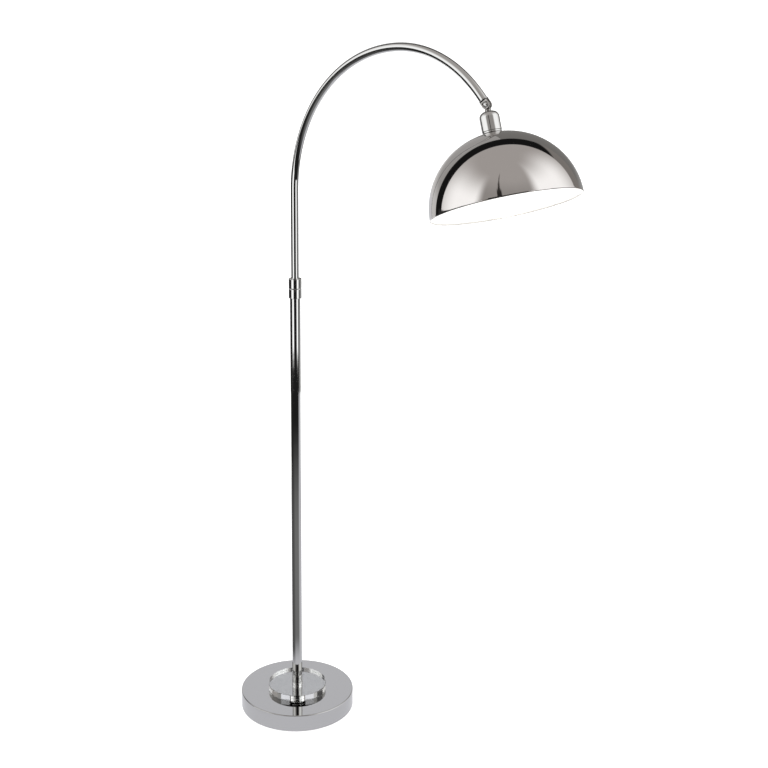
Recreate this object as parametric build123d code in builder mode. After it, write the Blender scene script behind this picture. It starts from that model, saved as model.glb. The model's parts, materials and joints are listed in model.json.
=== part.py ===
"""Arc floor lamp: weighted drum base, telescoping pole, bent arm, tilting dome shade.

Millimetres. The origin is the middle of the base's underside on the floor, +Z is up,
and +X is the way that the arm reaches, so the arm bends in the XZ plane.
"""
from build123d import *
import os

os.makedirs("parts", exist_ok=True)

# ---------------------------------------------------------------- clearances
THREAD_CLEARANCE = 0.05     # radial, screwed or pressed pieces on one body
RUNNING_CLEARANCE = 0.05    # radial, shafts that turn or slide
FACE_CLEARANCE = 0.2        # axial, between faces that turn past each other
LOOSE_CLEARANCE = 0.3       # radial, a hole that a moving tube only passes

# ---------------------------------------------------------------- base
BASE_RADIUS = 125.0
BASE_HEIGHT = 39.3
SHELL_WALL = 1.5
SHELL_EDGE_RADIUS = 1.6
SHELL_FLOOR_GAP = 1.2
PAD_THICKNESS = 2.0
PAD_INSET = 5.0             # felt's edge inside the drum's edge
PLATE_THICKNESS = 2.0
PLATE_CLEARANCE = 0.5
PLATE_BORE_RADIUS = 18.0
WEIGHT_CLEARANCE = 0.8
PLATE_SCREW_COUNT = 4
PLATE_SCREW_RADIUS = 2.5
PLATE_SCREW_HEAD_RADIUS = 4.4
PLATE_SCREW_LENGTH = 16.0
PLATE_SCREW_INSET = 30.0    # screw circle inside the drum's edge
TIE_RADIUS = 4.8
TIE_BORE_RADIUS = 3.0
TIE_NUT_RADIUS = 9.8        # across the corners, halved
TIE_NUT_HEIGHT = 6.0
TIE_WASHER_RADIUS = 12.0
TIE_WASHER_THICKNESS = 2.0
TIE_POCKET_RADIUS = 15.0
TIE_POCKET_DEPTH = 14.0
TIE_TAIL = 1.5              # thread that shows below the nut
BUSHING_HEIGHT = 10.5       # height of the flex hole's middle
BUSHING_RADIUS = 4.9
BUSHING_BORE_RADIUS = 3.2
BUSHING_LENGTH = 9.0
BUSHING_FLANGE_RADIUS = 6.4
BUSHING_FLANGE_THICKNESS = 1.5
CHANNEL_WIDTH = 12.0
DISC_RADIUS = 64.2
DISC_THICKNESS = 14.0
DISC_EDGE = 0.5
DISC_POLE_CLEARANCE = 0.25

# ---------------------------------------------------------------- arm
ARM_RADIUS = 8.0
ARM_WALL = 1.5
ARM_BEND_START = 1165.0     # height where the straight part ends
BEND_RISE_RADIUS = 298.0
BEND_RISE_ANGLE = 84.4
BEND_FALL_RADIUS = 246.0
BEND_FALL_ANGLE = 51.0
ARM_TAIL = 10.0             # straight end after the bend
ARM_TRAVEL_UP = 250.0
STOP_MARGIN = 0.5
BUSH_LENGTH = 20.0
BUSH_WALL = 1.4
CLIP_THICKNESS = 1.0
CLIP_GROOVE_DEPTH = 0.5
CLIP_EDGE_GAP = 0.4
CLIP_END_LAND = 4.0         # tube below the lower clip
WIRE_RADIUS = 2.5
WIRE_TAIL = 20.0            # flex that hangs below the arm

# ---------------------------------------------------------------- pole and collar
POLE_WALL = 1.5
POLE_RADIUS = ARM_RADIUS + RUNNING_CLEARANCE + BUSH_WALL + RUNNING_CLEARANCE + POLE_WALL
POLE_LENGTH = 910.7
FOOT_PLUG_LENGTH = 22.0
TIE_ENGAGEMENT = 18.0       # thread inside the foot plug
COLLAR_WALL = 2.5           # collar outside the pole
COLLAR_BODY_HEIGHT = 20.3
COLLAR_RING_HEIGHT = 20.2
COLLAR_GROOVE = 1.1         # chamfer on each side of the parting line
COLLAR_EDGE = 0.4
COLLAR_SEAT = 7.5           # how far the collar body reaches down the pole
COLLAR_STEP = 7.0           # solid land between the pole's end and the sleeve
SPIGOT_HEIGHT = 10.0
SPIGOT_WALL = 0.6           # spigot outside the pole
SLEEVE_WALL = 1.8
SLEEVE_PROUD = 2.0          # sleeve above the spigot's end
SLEEVE_SLOT = 1.4

# ---------------------------------------------------------------- knuckle
HEAD_SWIVEL_ANGLE = -15.3   # fork turned about the arm's end
HEAD_TILT_ANGLE = -23.9     # shade tilted from the arm's end direction
KNUCKLE_DROP = 10.7         # arm's end to the tilt axis
FLANGE_LIP = 1.3            # flange outside the arm
FLANGE_THICKNESS = 1.5
EAR_RADIUS = 7.8
EAR_THICKNESS = 2.8
EAR_EDGE = 0.5
TONGUE_RADIUS = 6.6
TONGUE_THICKNESS = 4.7
TONGUE_NECK_HALF_WIDTH = 5.0
TONGUE_COLLAR_RADIUS = 6.0
WASHER_THICKNESS = 0.5
WASHER_GAP = 0.1
STEM_RADIUS = 4.0
STEM_BORE_RADIUS = 2.6
STEM_TAIL = 1.8
STEM_CLIP_THICKNESS = 0.8
STEM_CLIP_RADIUS = 5.3
STEM_GROOVE_DEPTH = 0.5
KNUCKLE_SCREW_RADIUS = 2.0
KNUCKLE_HEAD_RADIUS = 3.7
KNUCKLE_HEAD_HEIGHT = 1.6
KNUCKLE_SLOT_WIDTH = 0.9
KNUCKLE_SLOT_DEPTH = 0.7
KNUCKLE_NUT_RADIUS = 3.9
KNUCKLE_NUT_HEIGHT = 2.2

# ---------------------------------------------------------------- cup, holder, shade
KNUCKLE_TO_CUP = 12.2
CUP_RADIUS = 18.0
CUP_HEIGHT = 35.2
CUP_WALL = 0.9
CUP_CROWN_MARGIN = 0.1       # flat of the cup's top outside its nut
CUP_RING_STEP = 0.7         # ring's wall inside the cup's
CUP_RING_HEIGHT = 3.5
CUP_RING_EDGE = 0.6
NIPPLE_RADIUS = 4.8
NIPPLE_BORE_RADIUS = 3.0
NIPPLE_IN_TONGUE = 3.4
NIPPLE_LENGTH = 14.0
CUP_NUT_RADIUS = 6.9
CUP_NUT_HEIGHT = 3.0
HOLDER_CLEARANCE = 0.7      # radial, holder inside the cup
HOLDER_SHOULDER = 1.8       # step from the wide part to the threaded one
HOLDER_WALL = 0.85
HOLDER_TOP_WALL = 3.0
HOLDER_PROUD = 9.0          # holder below the shade's crown
SCREW_SHELL_WALL = 0.4
SCREW_SHELL_LENGTH = 24.0
CONTACT_RADIUS = 4.0
CONTACT_THICKNESS = 1.0
SHADE_RADIUS = 136.3
SHADE_DEPTH = 132.6
SHADE_WALL = 0.9
SHADE_HOLE_CLEARANCE = 0.3
SHADE_NUT_RADIUS = 20.0
SHADE_NUT_HEIGHT = 4.0
CAP_CLEARANCE = 0.3         # radial, bulb cap in the screw shell
CAP_LENGTH = 22.0
CAP_WALL = 0.4
CAP_TIP_RADIUS = 4.6
CAP_TIP_HEIGHT = 2.2
BULB_RADIUS = 30.0
BULB_LENGTH = 108.0
BULB_NECK_CLEARANCE = 0.2   # radial, glass inside its cap
BULB_GLASS_WALL = 0.8
BULB_SHOULDER_ANGLE = 40.0  # where the ball runs into the neck


def save(part, name):
    """Label a finished piece and write it as parts/NAME.step."""
    part.label = name
    export_step(part, f"parts/{name}.step")


# ================================================================ base
pad_top = PAD_THICKNESS
plate_top = pad_top + PLATE_THICKNESS
shell_inner_radius = BASE_RADIUS - SHELL_WALL
shell_underside = BASE_HEIGHT - SHELL_WALL
plate_radius = shell_inner_radius - PLATE_CLEARANCE
weight_radius = shell_inner_radius - WEIGHT_CLEARANCE
screw_circle = BASE_RADIUS - PLATE_SCREW_INSET
tie_hole_radius = TIE_RADIUS + THREAD_CLEARANCE
tie_seat = plate_top + TIE_POCKET_DEPTH
bushing_hole_radius = BUSHING_RADIUS + THREAD_CLEARANCE

# Felt pad: a full disc glued under the closing plate.
with BuildPart() as foot_pad:
    with BuildSketch(Plane.XY):
        Circle(BASE_RADIUS - PAD_INSET)
    extrude(amount=PAD_THICKNESS)
save(foot_pad.part, "foot_pad")

# Closing plate: open in the middle for the tie nut, countersunk from below.
with BuildPart() as base_plate:
    with BuildSketch(Plane.XY.offset(pad_top)):
        Circle(plate_radius)
        Circle(PLATE_BORE_RADIUS, mode=Mode.SUBTRACT)
    extrude(amount=PLATE_THICKNESS)
    with BuildSketch(Plane.XY.offset(pad_top)):
        with PolarLocations(screw_circle, PLATE_SCREW_COUNT, start_angle=45):
            Circle(PLATE_SCREW_HEAD_RADIUS + THREAD_CLEARANCE)
    extrude(amount=PLATE_THICKNESS, mode=Mode.SUBTRACT)
save(base_plate.part, "base_plate")

# Plate screws: flat heads let into the plate, shanks in the weight.
with BuildPart() as plate_screws:
    with BuildSketch(Plane.XY.offset(pad_top)):
        with PolarLocations(screw_circle, PLATE_SCREW_COUNT, start_angle=45):
            Circle(PLATE_SCREW_HEAD_RADIUS)
    extrude(amount=PLATE_THICKNESS)
    with BuildSketch(Plane.XY.offset(plate_top)):
        with PolarLocations(screw_circle, PLATE_SCREW_COUNT, start_angle=45):
            Circle(PLATE_SCREW_RADIUS)
    extrude(amount=PLATE_SCREW_LENGTH)
save(plate_screws.part, "plate_screws")

# Weight: an iron slab with a pocket for the tie nut and a channel for the flex.
with BuildPart() as base_weight:
    with BuildSketch(Plane.XY.offset(plate_top)):
        Circle(weight_radius)
        Circle(tie_hole_radius, mode=Mode.SUBTRACT)
    extrude(amount=shell_underside - plate_top)
    with BuildSketch(Plane.XY.offset(plate_top)):
        Circle(TIE_POCKET_RADIUS)
    extrude(amount=TIE_POCKET_DEPTH, mode=Mode.SUBTRACT)
    channel_height = BUSHING_HEIGHT + CHANNEL_WIDTH / 2 - plate_top
    with BuildSketch(Plane.XY.offset(plate_top)):
        with Locations((-weight_radius / 2, 0)):
            Rectangle(weight_radius, CHANNEL_WIDTH)
    extrude(amount=channel_height, mode=Mode.SUBTRACT)
    with BuildSketch(Plane.XY.offset(plate_top)):
        with PolarLocations(screw_circle, PLATE_SCREW_COUNT, start_angle=45):
            Circle(PLATE_SCREW_RADIUS + THREAD_CLEARANCE)
    extrude(amount=PLATE_SCREW_LENGTH, mode=Mode.SUBTRACT)
save(base_weight.part, "base_weight")

# Drum: a spun shell with a rounded top edge, open below.
with BuildPart() as base_shell:
    with BuildSketch(Plane.XY.offset(SHELL_FLOOR_GAP)):
        Circle(BASE_RADIUS)
    extrude(amount=BASE_HEIGHT - SHELL_FLOOR_GAP)
    fillet(base_shell.edges().sort_by(Axis.Z)[-1], SHELL_EDGE_RADIUS)
    with BuildSketch(Plane.XY.offset(SHELL_FLOOR_GAP)):
        Circle(shell_inner_radius)
    extrude(amount=shell_underside - SHELL_FLOOR_GAP, mode=Mode.SUBTRACT)
    with BuildSketch(Plane.XY.offset(shell_underside)):
        Circle(tie_hole_radius)
    extrude(amount=SHELL_WALL, mode=Mode.SUBTRACT)
    with BuildSketch(Plane.YZ.offset(-BASE_RADIUS)):
        with Locations((0, BUSHING_HEIGHT)):
            Circle(bushing_hole_radius)
    extrude(amount=2 * SHELL_WALL, mode=Mode.SUBTRACT)
save(base_shell.part, "base_shell")

# Flex bushing in the back of the drum.
with BuildPart() as cord_bushing:
    with BuildSketch(Plane.YZ.offset(-BASE_RADIUS)):
        with Locations((0, BUSHING_HEIGHT)):
            Circle(BUSHING_RADIUS)
    extrude(amount=BUSHING_LENGTH)
    with BuildSketch(Plane.YZ.offset(-BASE_RADIUS)):
        with Locations((0, BUSHING_HEIGHT)):
            Circle(BUSHING_FLANGE_RADIUS)
    extrude(amount=-BUSHING_FLANGE_THICKNESS)
    fillet(cord_bushing.edges().sort_by(Axis.X)[0], BUSHING_FLANGE_THICKNESS / 2)
    with BuildSketch(Plane.YZ.offset(-BASE_RADIUS - BUSHING_FLANGE_THICKNESS)):
        with Locations((0, BUSHING_HEIGHT)):
            Circle(BUSHING_BORE_RADIUS)
    extrude(amount=BUSHING_LENGTH + BUSHING_FLANGE_THICKNESS, mode=Mode.SUBTRACT)
save(cord_bushing.part, "cord_bushing")

# Tie pipe: hollow threaded rod that pulls the pole down on the drum.
tie_washer_bottom = tie_seat - TIE_WASHER_THICKNESS
tie_nut_bottom = tie_washer_bottom - TIE_NUT_HEIGHT
tie_bottom = tie_nut_bottom - TIE_TAIL
tie_top = BASE_HEIGHT + TIE_ENGAGEMENT
with BuildPart() as tie_pipe:
    with BuildSketch(Plane.XY.offset(tie_bottom)):
        Circle(TIE_RADIUS)
        Circle(TIE_BORE_RADIUS, mode=Mode.SUBTRACT)
    extrude(amount=tie_top - tie_bottom)
save(tie_pipe.part, "tie_pipe")

with BuildPart() as tie_washer:
    with BuildSketch(Plane.XY.offset(tie_washer_bottom)):
        Circle(TIE_WASHER_RADIUS)
        Circle(tie_hole_radius, mode=Mode.SUBTRACT)
    extrude(amount=TIE_WASHER_THICKNESS)
save(tie_washer.part, "tie_washer")

with BuildPart() as tie_nut:
    with BuildSketch(Plane.XY.offset(tie_nut_bottom)):
        RegularPolygon(TIE_NUT_RADIUS, 6)
        Circle(tie_hole_radius, mode=Mode.SUBTRACT)
    extrude(amount=TIE_NUT_HEIGHT)
save(tie_nut.part, "tie_nut")

# Clear disc that rests on the drum round the pole's foot.
with BuildPart() as acrylic_disc:
    with BuildSketch(Plane.XY.offset(BASE_HEIGHT)):
        Circle(DISC_RADIUS)
        Circle(POLE_RADIUS + DISC_POLE_CLEARANCE, mode=Mode.SUBTRACT)
    extrude(amount=DISC_THICKNESS)
    disc_rims = acrylic_disc.edges().filter_by(GeomType.CIRCLE).sort_by(SortBy.RADIUS)[-2:]
    chamfer(disc_rims, DISC_EDGE)
save(acrylic_disc.part, "acrylic_disc")

# ================================================================ pole and collar
pole_top = BASE_HEIGHT + POLE_LENGTH
pole_inner_radius = POLE_RADIUS - POLE_WALL
collar_radius = POLE_RADIUS + COLLAR_WALL
spigot_radius = POLE_RADIUS + SPIGOT_WALL
arm_hole_radius = ARM_RADIUS + RUNNING_CLEARANCE
arm_pass_radius = ARM_RADIUS + LOOSE_CLEARANCE
sleeve_outer_radius = arm_hole_radius + SLEEVE_WALL
collar_bottom = pole_top - COLLAR_SEAT
collar_parting = collar_bottom + COLLAR_BODY_HEIGHT
sleeve_bottom = pole_top + COLLAR_STEP
spigot_top = collar_parting + SPIGOT_HEIGHT
sleeve_top = spigot_top + SLEEVE_PROUD
ring_bottom = collar_parting + FACE_CLEARANCE
ring_top = ring_bottom + COLLAR_RING_HEIGHT

with BuildPart() as lower_tube:
    with BuildSketch(Plane.XY.offset(BASE_HEIGHT)):
        Circle(POLE_RADIUS)
        Circle(pole_inner_radius, mode=Mode.SUBTRACT)
    extrude(amount=POLE_LENGTH)
save(lower_tube.part, "lower_tube")

# Threaded plug fixed in the pole's foot.
with BuildPart() as foot_plug:
    with BuildSketch(Plane.XY.offset(BASE_HEIGHT)):
        Circle(pole_inner_radius - THREAD_CLEARANCE)
        Circle(tie_hole_radius, mode=Mode.SUBTRACT)
    extrude(amount=FOOT_PLUG_LENGTH)
save(foot_plug.part, "foot_plug")

# Collar body: seated over the pole's end, with the threaded spigot for the ring.
with BuildPart() as collar_body:
    with BuildSketch(Plane.XY.offset(collar_bottom)):
        Circle(collar_radius)
    extrude(amount=COLLAR_BODY_HEIGHT)
    chamfer(collar_body.edges().sort_by(Axis.Z)[-1], COLLAR_GROOVE)
    fillet(collar_body.edges().sort_by(Axis.Z)[0], COLLAR_EDGE)
    with BuildSketch(Plane.XY.offset(collar_parting)):
        Circle(spigot_radius)
    extrude(amount=SPIGOT_HEIGHT)
    with BuildSketch(Plane.XY.offset(collar_bottom)):
        Circle(POLE_RADIUS + THREAD_CLEARANCE)
    extrude(amount=COLLAR_SEAT, mode=Mode.SUBTRACT)
    with BuildSketch(Plane.XY.offset(pole_top)):
        Circle(arm_pass_radius)
    extrude(amount=COLLAR_STEP, mode=Mode.SUBTRACT)
    with BuildSketch(Plane.XY.offset(sleeve_bottom)):
        Circle(sleeve_outer_radius + THREAD_CLEARANCE)
    extrude(amount=spigot_top - sleeve_bottom, mode=Mode.SUBTRACT)
save(collar_body.part, "collar_body")

# Collar ring: turned by hand to squeeze the sleeve on the arm.
with BuildPart() as collar_ring:
    with BuildSketch(Plane.XY.offset(ring_bottom)):
        Circle(collar_radius)
    extrude(amount=COLLAR_RING_HEIGHT)
    chamfer(collar_ring.edges().sort_by(Axis.Z)[0], COLLAR_GROOVE)
    fillet(collar_ring.edges().sort_by(Axis.Z)[-1], COLLAR_EDGE)
    with BuildSketch(Plane.XY.offset(ring_bottom)):
        Circle(spigot_radius + RUNNING_CLEARANCE)
    extrude(amount=sleeve_top + FACE_CLEARANCE - ring_bottom, mode=Mode.SUBTRACT)
    with BuildSketch(Plane.XY.offset(sleeve_top)):
        Circle(arm_pass_radius)
    extrude(amount=ring_top - sleeve_top, mode=Mode.SUBTRACT)
save(collar_ring.part, "collar_ring")

# Split sleeve that grips the arm.
with BuildPart() as clamp_sleeve:
    with BuildSketch(Plane.XY.offset(sleeve_bottom)):
        Circle(sleeve_outer_radius)
        Circle(arm_hole_radius, mode=Mode.SUBTRACT)
        with Locations((-sleeve_outer_radius, 0)):
            Rectangle(2 * SLEEVE_WALL + 2, SLEEVE_SLOT, mode=Mode.SUBTRACT)
    extrude(amount=sleeve_top - sleeve_bottom)
save(clamp_sleeve.part, "clamp_sleeve")

# ================================================================ arm
arm_inner_radius = ARM_RADIUS - ARM_WALL
clip_outer_radius = pole_inner_radius - CLIP_EDGE_GAP
clip_inner_radius = ARM_RADIUS - CLIP_GROOVE_DEPTH
bush_stack = BUSH_LENGTH + 2 * FACE_CLEARANCE + 2 * CLIP_THICKNESS
arm_bottom = pole_top - ARM_TRAVEL_UP - STOP_MARGIN - bush_stack - CLIP_END_LAND
lower_clip_bottom = arm_bottom + CLIP_END_LAND
bush_bottom = lower_clip_bottom + CLIP_THICKNESS + FACE_CLEARANCE
upper_clip_bottom = bush_bottom + BUSH_LENGTH + FACE_CLEARANCE

# Centre line of the arm: straight, a wide rising bend, a tighter falling one, a short tail.
with BuildLine(Plane.XZ) as arm_line:
    rise_line = Line((0, arm_bottom), (0, ARM_BEND_START))
    rise_bend = JernArc(rise_line @ 1, rise_line % 1, BEND_RISE_RADIUS, -BEND_RISE_ANGLE)
    fall_bend = JernArc(rise_bend @ 1, rise_bend % 1, BEND_FALL_RADIUS, -BEND_FALL_ANGLE)
    tail_line = Line(fall_bend @ 1, (fall_bend @ 1) + (fall_bend % 1) * ARM_TAIL)
arm_end = tail_line @ 1
arm_end_dir = (tail_line % 1).normalized()

with BuildPart() as arm_tube:
    with BuildSketch(Plane.XY.offset(arm_bottom)):
        Circle(ARM_RADIUS)
        Circle(arm_inner_radius, mode=Mode.SUBTRACT)
    sweep(path=arm_line.wires()[0])
    with BuildSketch(Plane.XY.offset(lower_clip_bottom), Plane.XY.offset(upper_clip_bottom)):
        Circle(ARM_RADIUS + 1)
        Circle(clip_inner_radius, mode=Mode.SUBTRACT)
    extrude(amount=CLIP_THICKNESS, mode=Mode.SUBTRACT)
save(arm_tube.part, "arm_tube")

# Guide bush that keeps the arm's lower end central in the pole.
with BuildPart() as guide_bush:
    with BuildSketch(Plane.XY.offset(bush_bottom)):
        Circle(pole_inner_radius - RUNNING_CLEARANCE)
        Circle(arm_hole_radius, mode=Mode.SUBTRACT)
    extrude(amount=BUSH_LENGTH)
save(guide_bush.part, "guide_bush")

# Two clips in grooves hold the bush; the upper one meets the collar at full height.
with BuildPart() as guide_clips:
    with BuildSketch(Plane.XY.offset(lower_clip_bottom), Plane.XY.offset(upper_clip_bottom)):
        Circle(clip_outer_radius)
        Circle(clip_inner_radius, mode=Mode.SUBTRACT)
    extrude(amount=CLIP_THICKNESS)
save(guide_clips.part, "guide_clips")

# ================================================================ knuckle frames
# Both frames stand on the tilt axis: local x is the tilt axis and local z runs up.
knuckle_centre = arm_end + arm_end_dir * KNUCKLE_DROP
hinge_dir = Vector(0, -1, 0).rotate(Axis((0, 0, 0), arm_end_dir), HEAD_SWIVEL_ANGLE)
arm_back_dir = arm_end_dir * -1
shade_up_dir = arm_back_dir.rotate(Axis((0, 0, 0), hinge_dir), HEAD_TILT_ANGLE)
fork_frame = Plane(origin=knuckle_centre, x_dir=hinge_dir, z_dir=arm_back_dir)
shade_frame = Plane(origin=knuckle_centre, x_dir=hinge_dir, z_dir=shade_up_dir)
# Side views, looked at along the tilt axis: local x runs across, local y runs up.
fork_side = Plane(origin=knuckle_centre, x_dir=fork_frame.y_dir, z_dir=hinge_dir)
shade_side = Plane(origin=knuckle_centre, x_dir=shade_frame.y_dir, z_dir=hinge_dir)
# Half-section of what is turned about the shade's axis: local x is the radius.
shade_profile = Plane(origin=knuckle_centre, x_dir=hinge_dir, z_dir=hinge_dir.cross(shade_up_dir))
shade_axis = Axis(knuckle_centre, shade_up_dir)

tongue_gap = TONGUE_THICKNESS + 2 * WASHER_THICKNESS + 4 * WASHER_GAP
knuckle_width = tongue_gap + 2 * EAR_THICKNESS
flange_bottom = KNUCKLE_DROP - FLANGE_THICKNESS
fork_top = flange_bottom - FACE_CLEARANCE
fork_slot_top = TONGUE_RADIUS + LOOSE_CLEARANCE
plug_top = KNUCKLE_DROP + ARM_TAIL
stem_clip_bottom = plug_top + FACE_CLEARANCE
stem_top = stem_clip_bottom + STEM_CLIP_THICKNESS + STEM_TAIL
stem_hole_radius = STEM_RADIUS + RUNNING_CLEARANCE
pin_hole_radius = KNUCKLE_SCREW_RADIUS + RUNNING_CLEARANCE

# End plug: pressed in the arm's end, with the thin flange that shows.
with BuildPart() as end_plug:
    with BuildSketch(fork_frame.offset(flange_bottom)):
        Circle(ARM_RADIUS + FLANGE_LIP)
    extrude(amount=FLANGE_THICKNESS)
    fillet(end_plug.edges().filter_by(GeomType.CIRCLE), FLANGE_THICKNESS / 4)
    with BuildSketch(fork_frame.offset(KNUCKLE_DROP)):
        Circle(arm_inner_radius - THREAD_CLEARANCE)
    extrude(amount=ARM_TAIL)
    with BuildSketch(fork_frame.offset(flange_bottom)):
        Circle(stem_hole_radius)
    extrude(amount=plug_top - flange_bottom, mode=Mode.SUBTRACT)
save(end_plug.part, "end_plug")

# Fork: two round ears on a short block, with a hollow stem that turns in the plug.
with BuildPart() as knuckle_fork:
    with BuildSketch(fork_side.offset(-knuckle_width / 2)):
        Circle(EAR_RADIUS)
        with Locations((0, fork_top / 2)):
            Rectangle(2 * EAR_RADIUS, fork_top)
    extrude(amount=knuckle_width)
    ear_faces = knuckle_fork.faces().filter_by(Plane(origin=(0, 0, 0), z_dir=hinge_dir))
    fillet(ear_faces.edges().filter_by(GeomType.CIRCLE), EAR_EDGE)
    with BuildSketch(fork_side.offset(-tongue_gap / 2)):
        with Locations((0, fork_slot_top / 2 - EAR_RADIUS)):
            Rectangle(4 * EAR_RADIUS, fork_slot_top + 2 * EAR_RADIUS)
    extrude(amount=tongue_gap, mode=Mode.SUBTRACT)
    with BuildSketch(fork_frame.offset(fork_top)):
        Circle(STEM_RADIUS)
    extrude(amount=stem_top - fork_top)
    with BuildSketch(fork_frame.offset(fork_slot_top)):
        Circle(STEM_BORE_RADIUS)
    extrude(amount=stem_top - fork_slot_top, mode=Mode.SUBTRACT)
    with BuildSketch(fork_frame.offset(stem_clip_bottom)):
        Circle(STEM_RADIUS + 1)
        Circle(STEM_RADIUS - STEM_GROOVE_DEPTH, mode=Mode.SUBTRACT)
    extrude(amount=STEM_CLIP_THICKNESS, mode=Mode.SUBTRACT)
    with BuildSketch(fork_side.offset(-knuckle_width / 2)):
        Circle(pin_hole_radius)
    extrude(amount=knuckle_width, mode=Mode.SUBTRACT)
save(knuckle_fork.part, "knuckle_fork")

# Clip that keeps the stem in the plug.
with BuildPart() as stem_clip:
    with BuildSketch(fork_frame.offset(stem_clip_bottom)):
        Circle(STEM_CLIP_RADIUS)
        Circle(STEM_RADIUS - STEM_GROOVE_DEPTH, mode=Mode.SUBTRACT)
    extrude(amount=STEM_CLIP_THICKNESS)
save(stem_clip.part, "stem_clip")

# Screw and nut through the ears.
with BuildPart() as knuckle_screw:
    with BuildSketch(fork_side.offset(-knuckle_width / 2 - KNUCKLE_NUT_HEIGHT)):
        Circle(KNUCKLE_SCREW_RADIUS)
    extrude(amount=knuckle_width + KNUCKLE_NUT_HEIGHT)
    with BuildSketch(fork_side.offset(knuckle_width / 2)):
        Circle(KNUCKLE_HEAD_RADIUS)
    extrude(amount=KNUCKLE_HEAD_HEIGHT)
    fillet(knuckle_screw.faces().sort_by(Axis(knuckle_centre, hinge_dir))[-1].edges(), EAR_EDGE)
    with BuildSketch(fork_side.offset(knuckle_width / 2 + KNUCKLE_HEAD_HEIGHT - KNUCKLE_SLOT_DEPTH)):
        Rectangle(2 * KNUCKLE_HEAD_RADIUS + 1, KNUCKLE_SLOT_WIDTH)
    extrude(amount=KNUCKLE_SLOT_DEPTH, mode=Mode.SUBTRACT)
save(knuckle_screw.part, "knuckle_screw")

with BuildPart() as knuckle_nut:
    with BuildSketch(fork_side.offset(-knuckle_width / 2 - KNUCKLE_NUT_HEIGHT)):
        RegularPolygon(KNUCKLE_NUT_RADIUS, 6)
        Circle(pin_hole_radius, mode=Mode.SUBTRACT)
    extrude(amount=KNUCKLE_NUT_HEIGHT)
save(knuckle_nut.part, "knuckle_nut")

# Two nylon washers, which lie against the ears, give the tilt its friction.
with BuildPart() as friction_washers:
    near_washer_plane = fork_side.offset(tongue_gap / 2 - WASHER_THICKNESS)
    far_washer_plane = fork_side.offset(-tongue_gap / 2)
    with BuildSketch(near_washer_plane, far_washer_plane):
        Circle(TONGUE_RADIUS - EAR_EDGE)
        Circle(pin_hole_radius, mode=Mode.SUBTRACT)
    extrude(amount=WASHER_THICKNESS)
save(friction_washers.part, "friction_washers")

# ================================================================ tongue, cup and holder
neck_bottom = EAR_RADIUS + LOOSE_CLEARANCE
cup_top = -KNUCKLE_TO_CUP
cup_bottom = cup_top - CUP_HEIGHT
crown = cup_bottom - CUP_RING_HEIGHT
nipple_hole_radius = NIPPLE_RADIUS + THREAD_CLEARANCE
cup_inner_top = cup_top - CUP_WALL
nipple_top = cup_top + NIPPLE_IN_TONGUE
nipple_bottom = nipple_top - NIPPLE_LENGTH
holder_top = nipple_bottom + HOLDER_TOP_WALL
holder_step = cup_bottom
holder_bottom = crown - HOLDER_PROUD
shell_top = holder_bottom + SCREW_SHELL_LENGTH
cup_shoulder = CUP_RADIUS - CUP_NUT_RADIUS - CUP_CROWN_MARGIN
holder_wide_radius = CUP_RADIUS - CUP_WALL - HOLDER_CLEARANCE
holder_narrow_radius = holder_wide_radius - HOLDER_SHOULDER
screw_shell_hole = holder_narrow_radius - HOLDER_WALL
screw_shell_radius = screw_shell_hole - THREAD_CLEARANCE

# Tongue: the knuckle's lower half, with a round foot that stands on the cup.
with BuildPart() as knuckle_tongue:
    with BuildSketch(shade_side.offset(-TONGUE_THICKNESS / 2)):
        Circle(TONGUE_RADIUS)
        with Locations((0, -neck_bottom / 2)):
            Rectangle(2 * TONGUE_NECK_HALF_WIDTH, neck_bottom)
    extrude(amount=TONGUE_THICKNESS)
    with BuildSketch(shade_frame.offset(cup_top)):
        Circle(TONGUE_COLLAR_RADIUS)
    extrude(amount=KNUCKLE_TO_CUP - neck_bottom)
    with BuildSketch(shade_side.offset(-TONGUE_THICKNESS / 2)):
        Circle(pin_hole_radius)
    extrude(amount=TONGUE_THICKNESS, mode=Mode.SUBTRACT)
    with BuildSketch(shade_frame.offset(cup_top)):
        Circle(nipple_hole_radius)
    extrude(amount=NIPPLE_IN_TONGUE, mode=Mode.SUBTRACT)
save(knuckle_tongue.part, "knuckle_tongue")

# Hollow nipple from the tongue through the cup into the lamp holder.
with BuildPart() as cup_nipple:
    with BuildSketch(shade_frame.offset(nipple_bottom)):
        Circle(NIPPLE_RADIUS)
        Circle(NIPPLE_BORE_RADIUS, mode=Mode.SUBTRACT)
    extrude(amount=NIPPLE_LENGTH)
save(cup_nipple.part, "cup_nipple")

with BuildPart() as cup_nut:
    with BuildSketch(shade_frame.offset(cup_inner_top - CUP_NUT_HEIGHT)):
        RegularPolygon(CUP_NUT_RADIUS, 6)
        Circle(nipple_hole_radius, mode=Mode.SUBTRACT)
    extrude(amount=CUP_NUT_HEIGHT)
save(cup_nut.part, "cup_nut")

# Socket cup: a drawn capsule with round shoulders.
with BuildPart() as socket_cup:
    with BuildSketch(shade_frame.offset(cup_bottom)):
        Circle(CUP_RADIUS)
    extrude(amount=CUP_HEIGHT)
    cup_ends = socket_cup.edges().filter_by(GeomType.CIRCLE).sort_by(shade_axis)
    fillet(cup_ends[-1], cup_shoulder)
    cup_opening = socket_cup.faces().filter_by(GeomType.PLANE).sort_by(shade_axis)[0]
    offset(amount=-CUP_WALL, openings=cup_opening)
    with BuildSketch(shade_frame.offset(cup_inner_top)):
        Circle(nipple_hole_radius)
    extrude(amount=CUP_WALL, mode=Mode.SUBTRACT)
save(socket_cup.part, "socket_cup")

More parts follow.
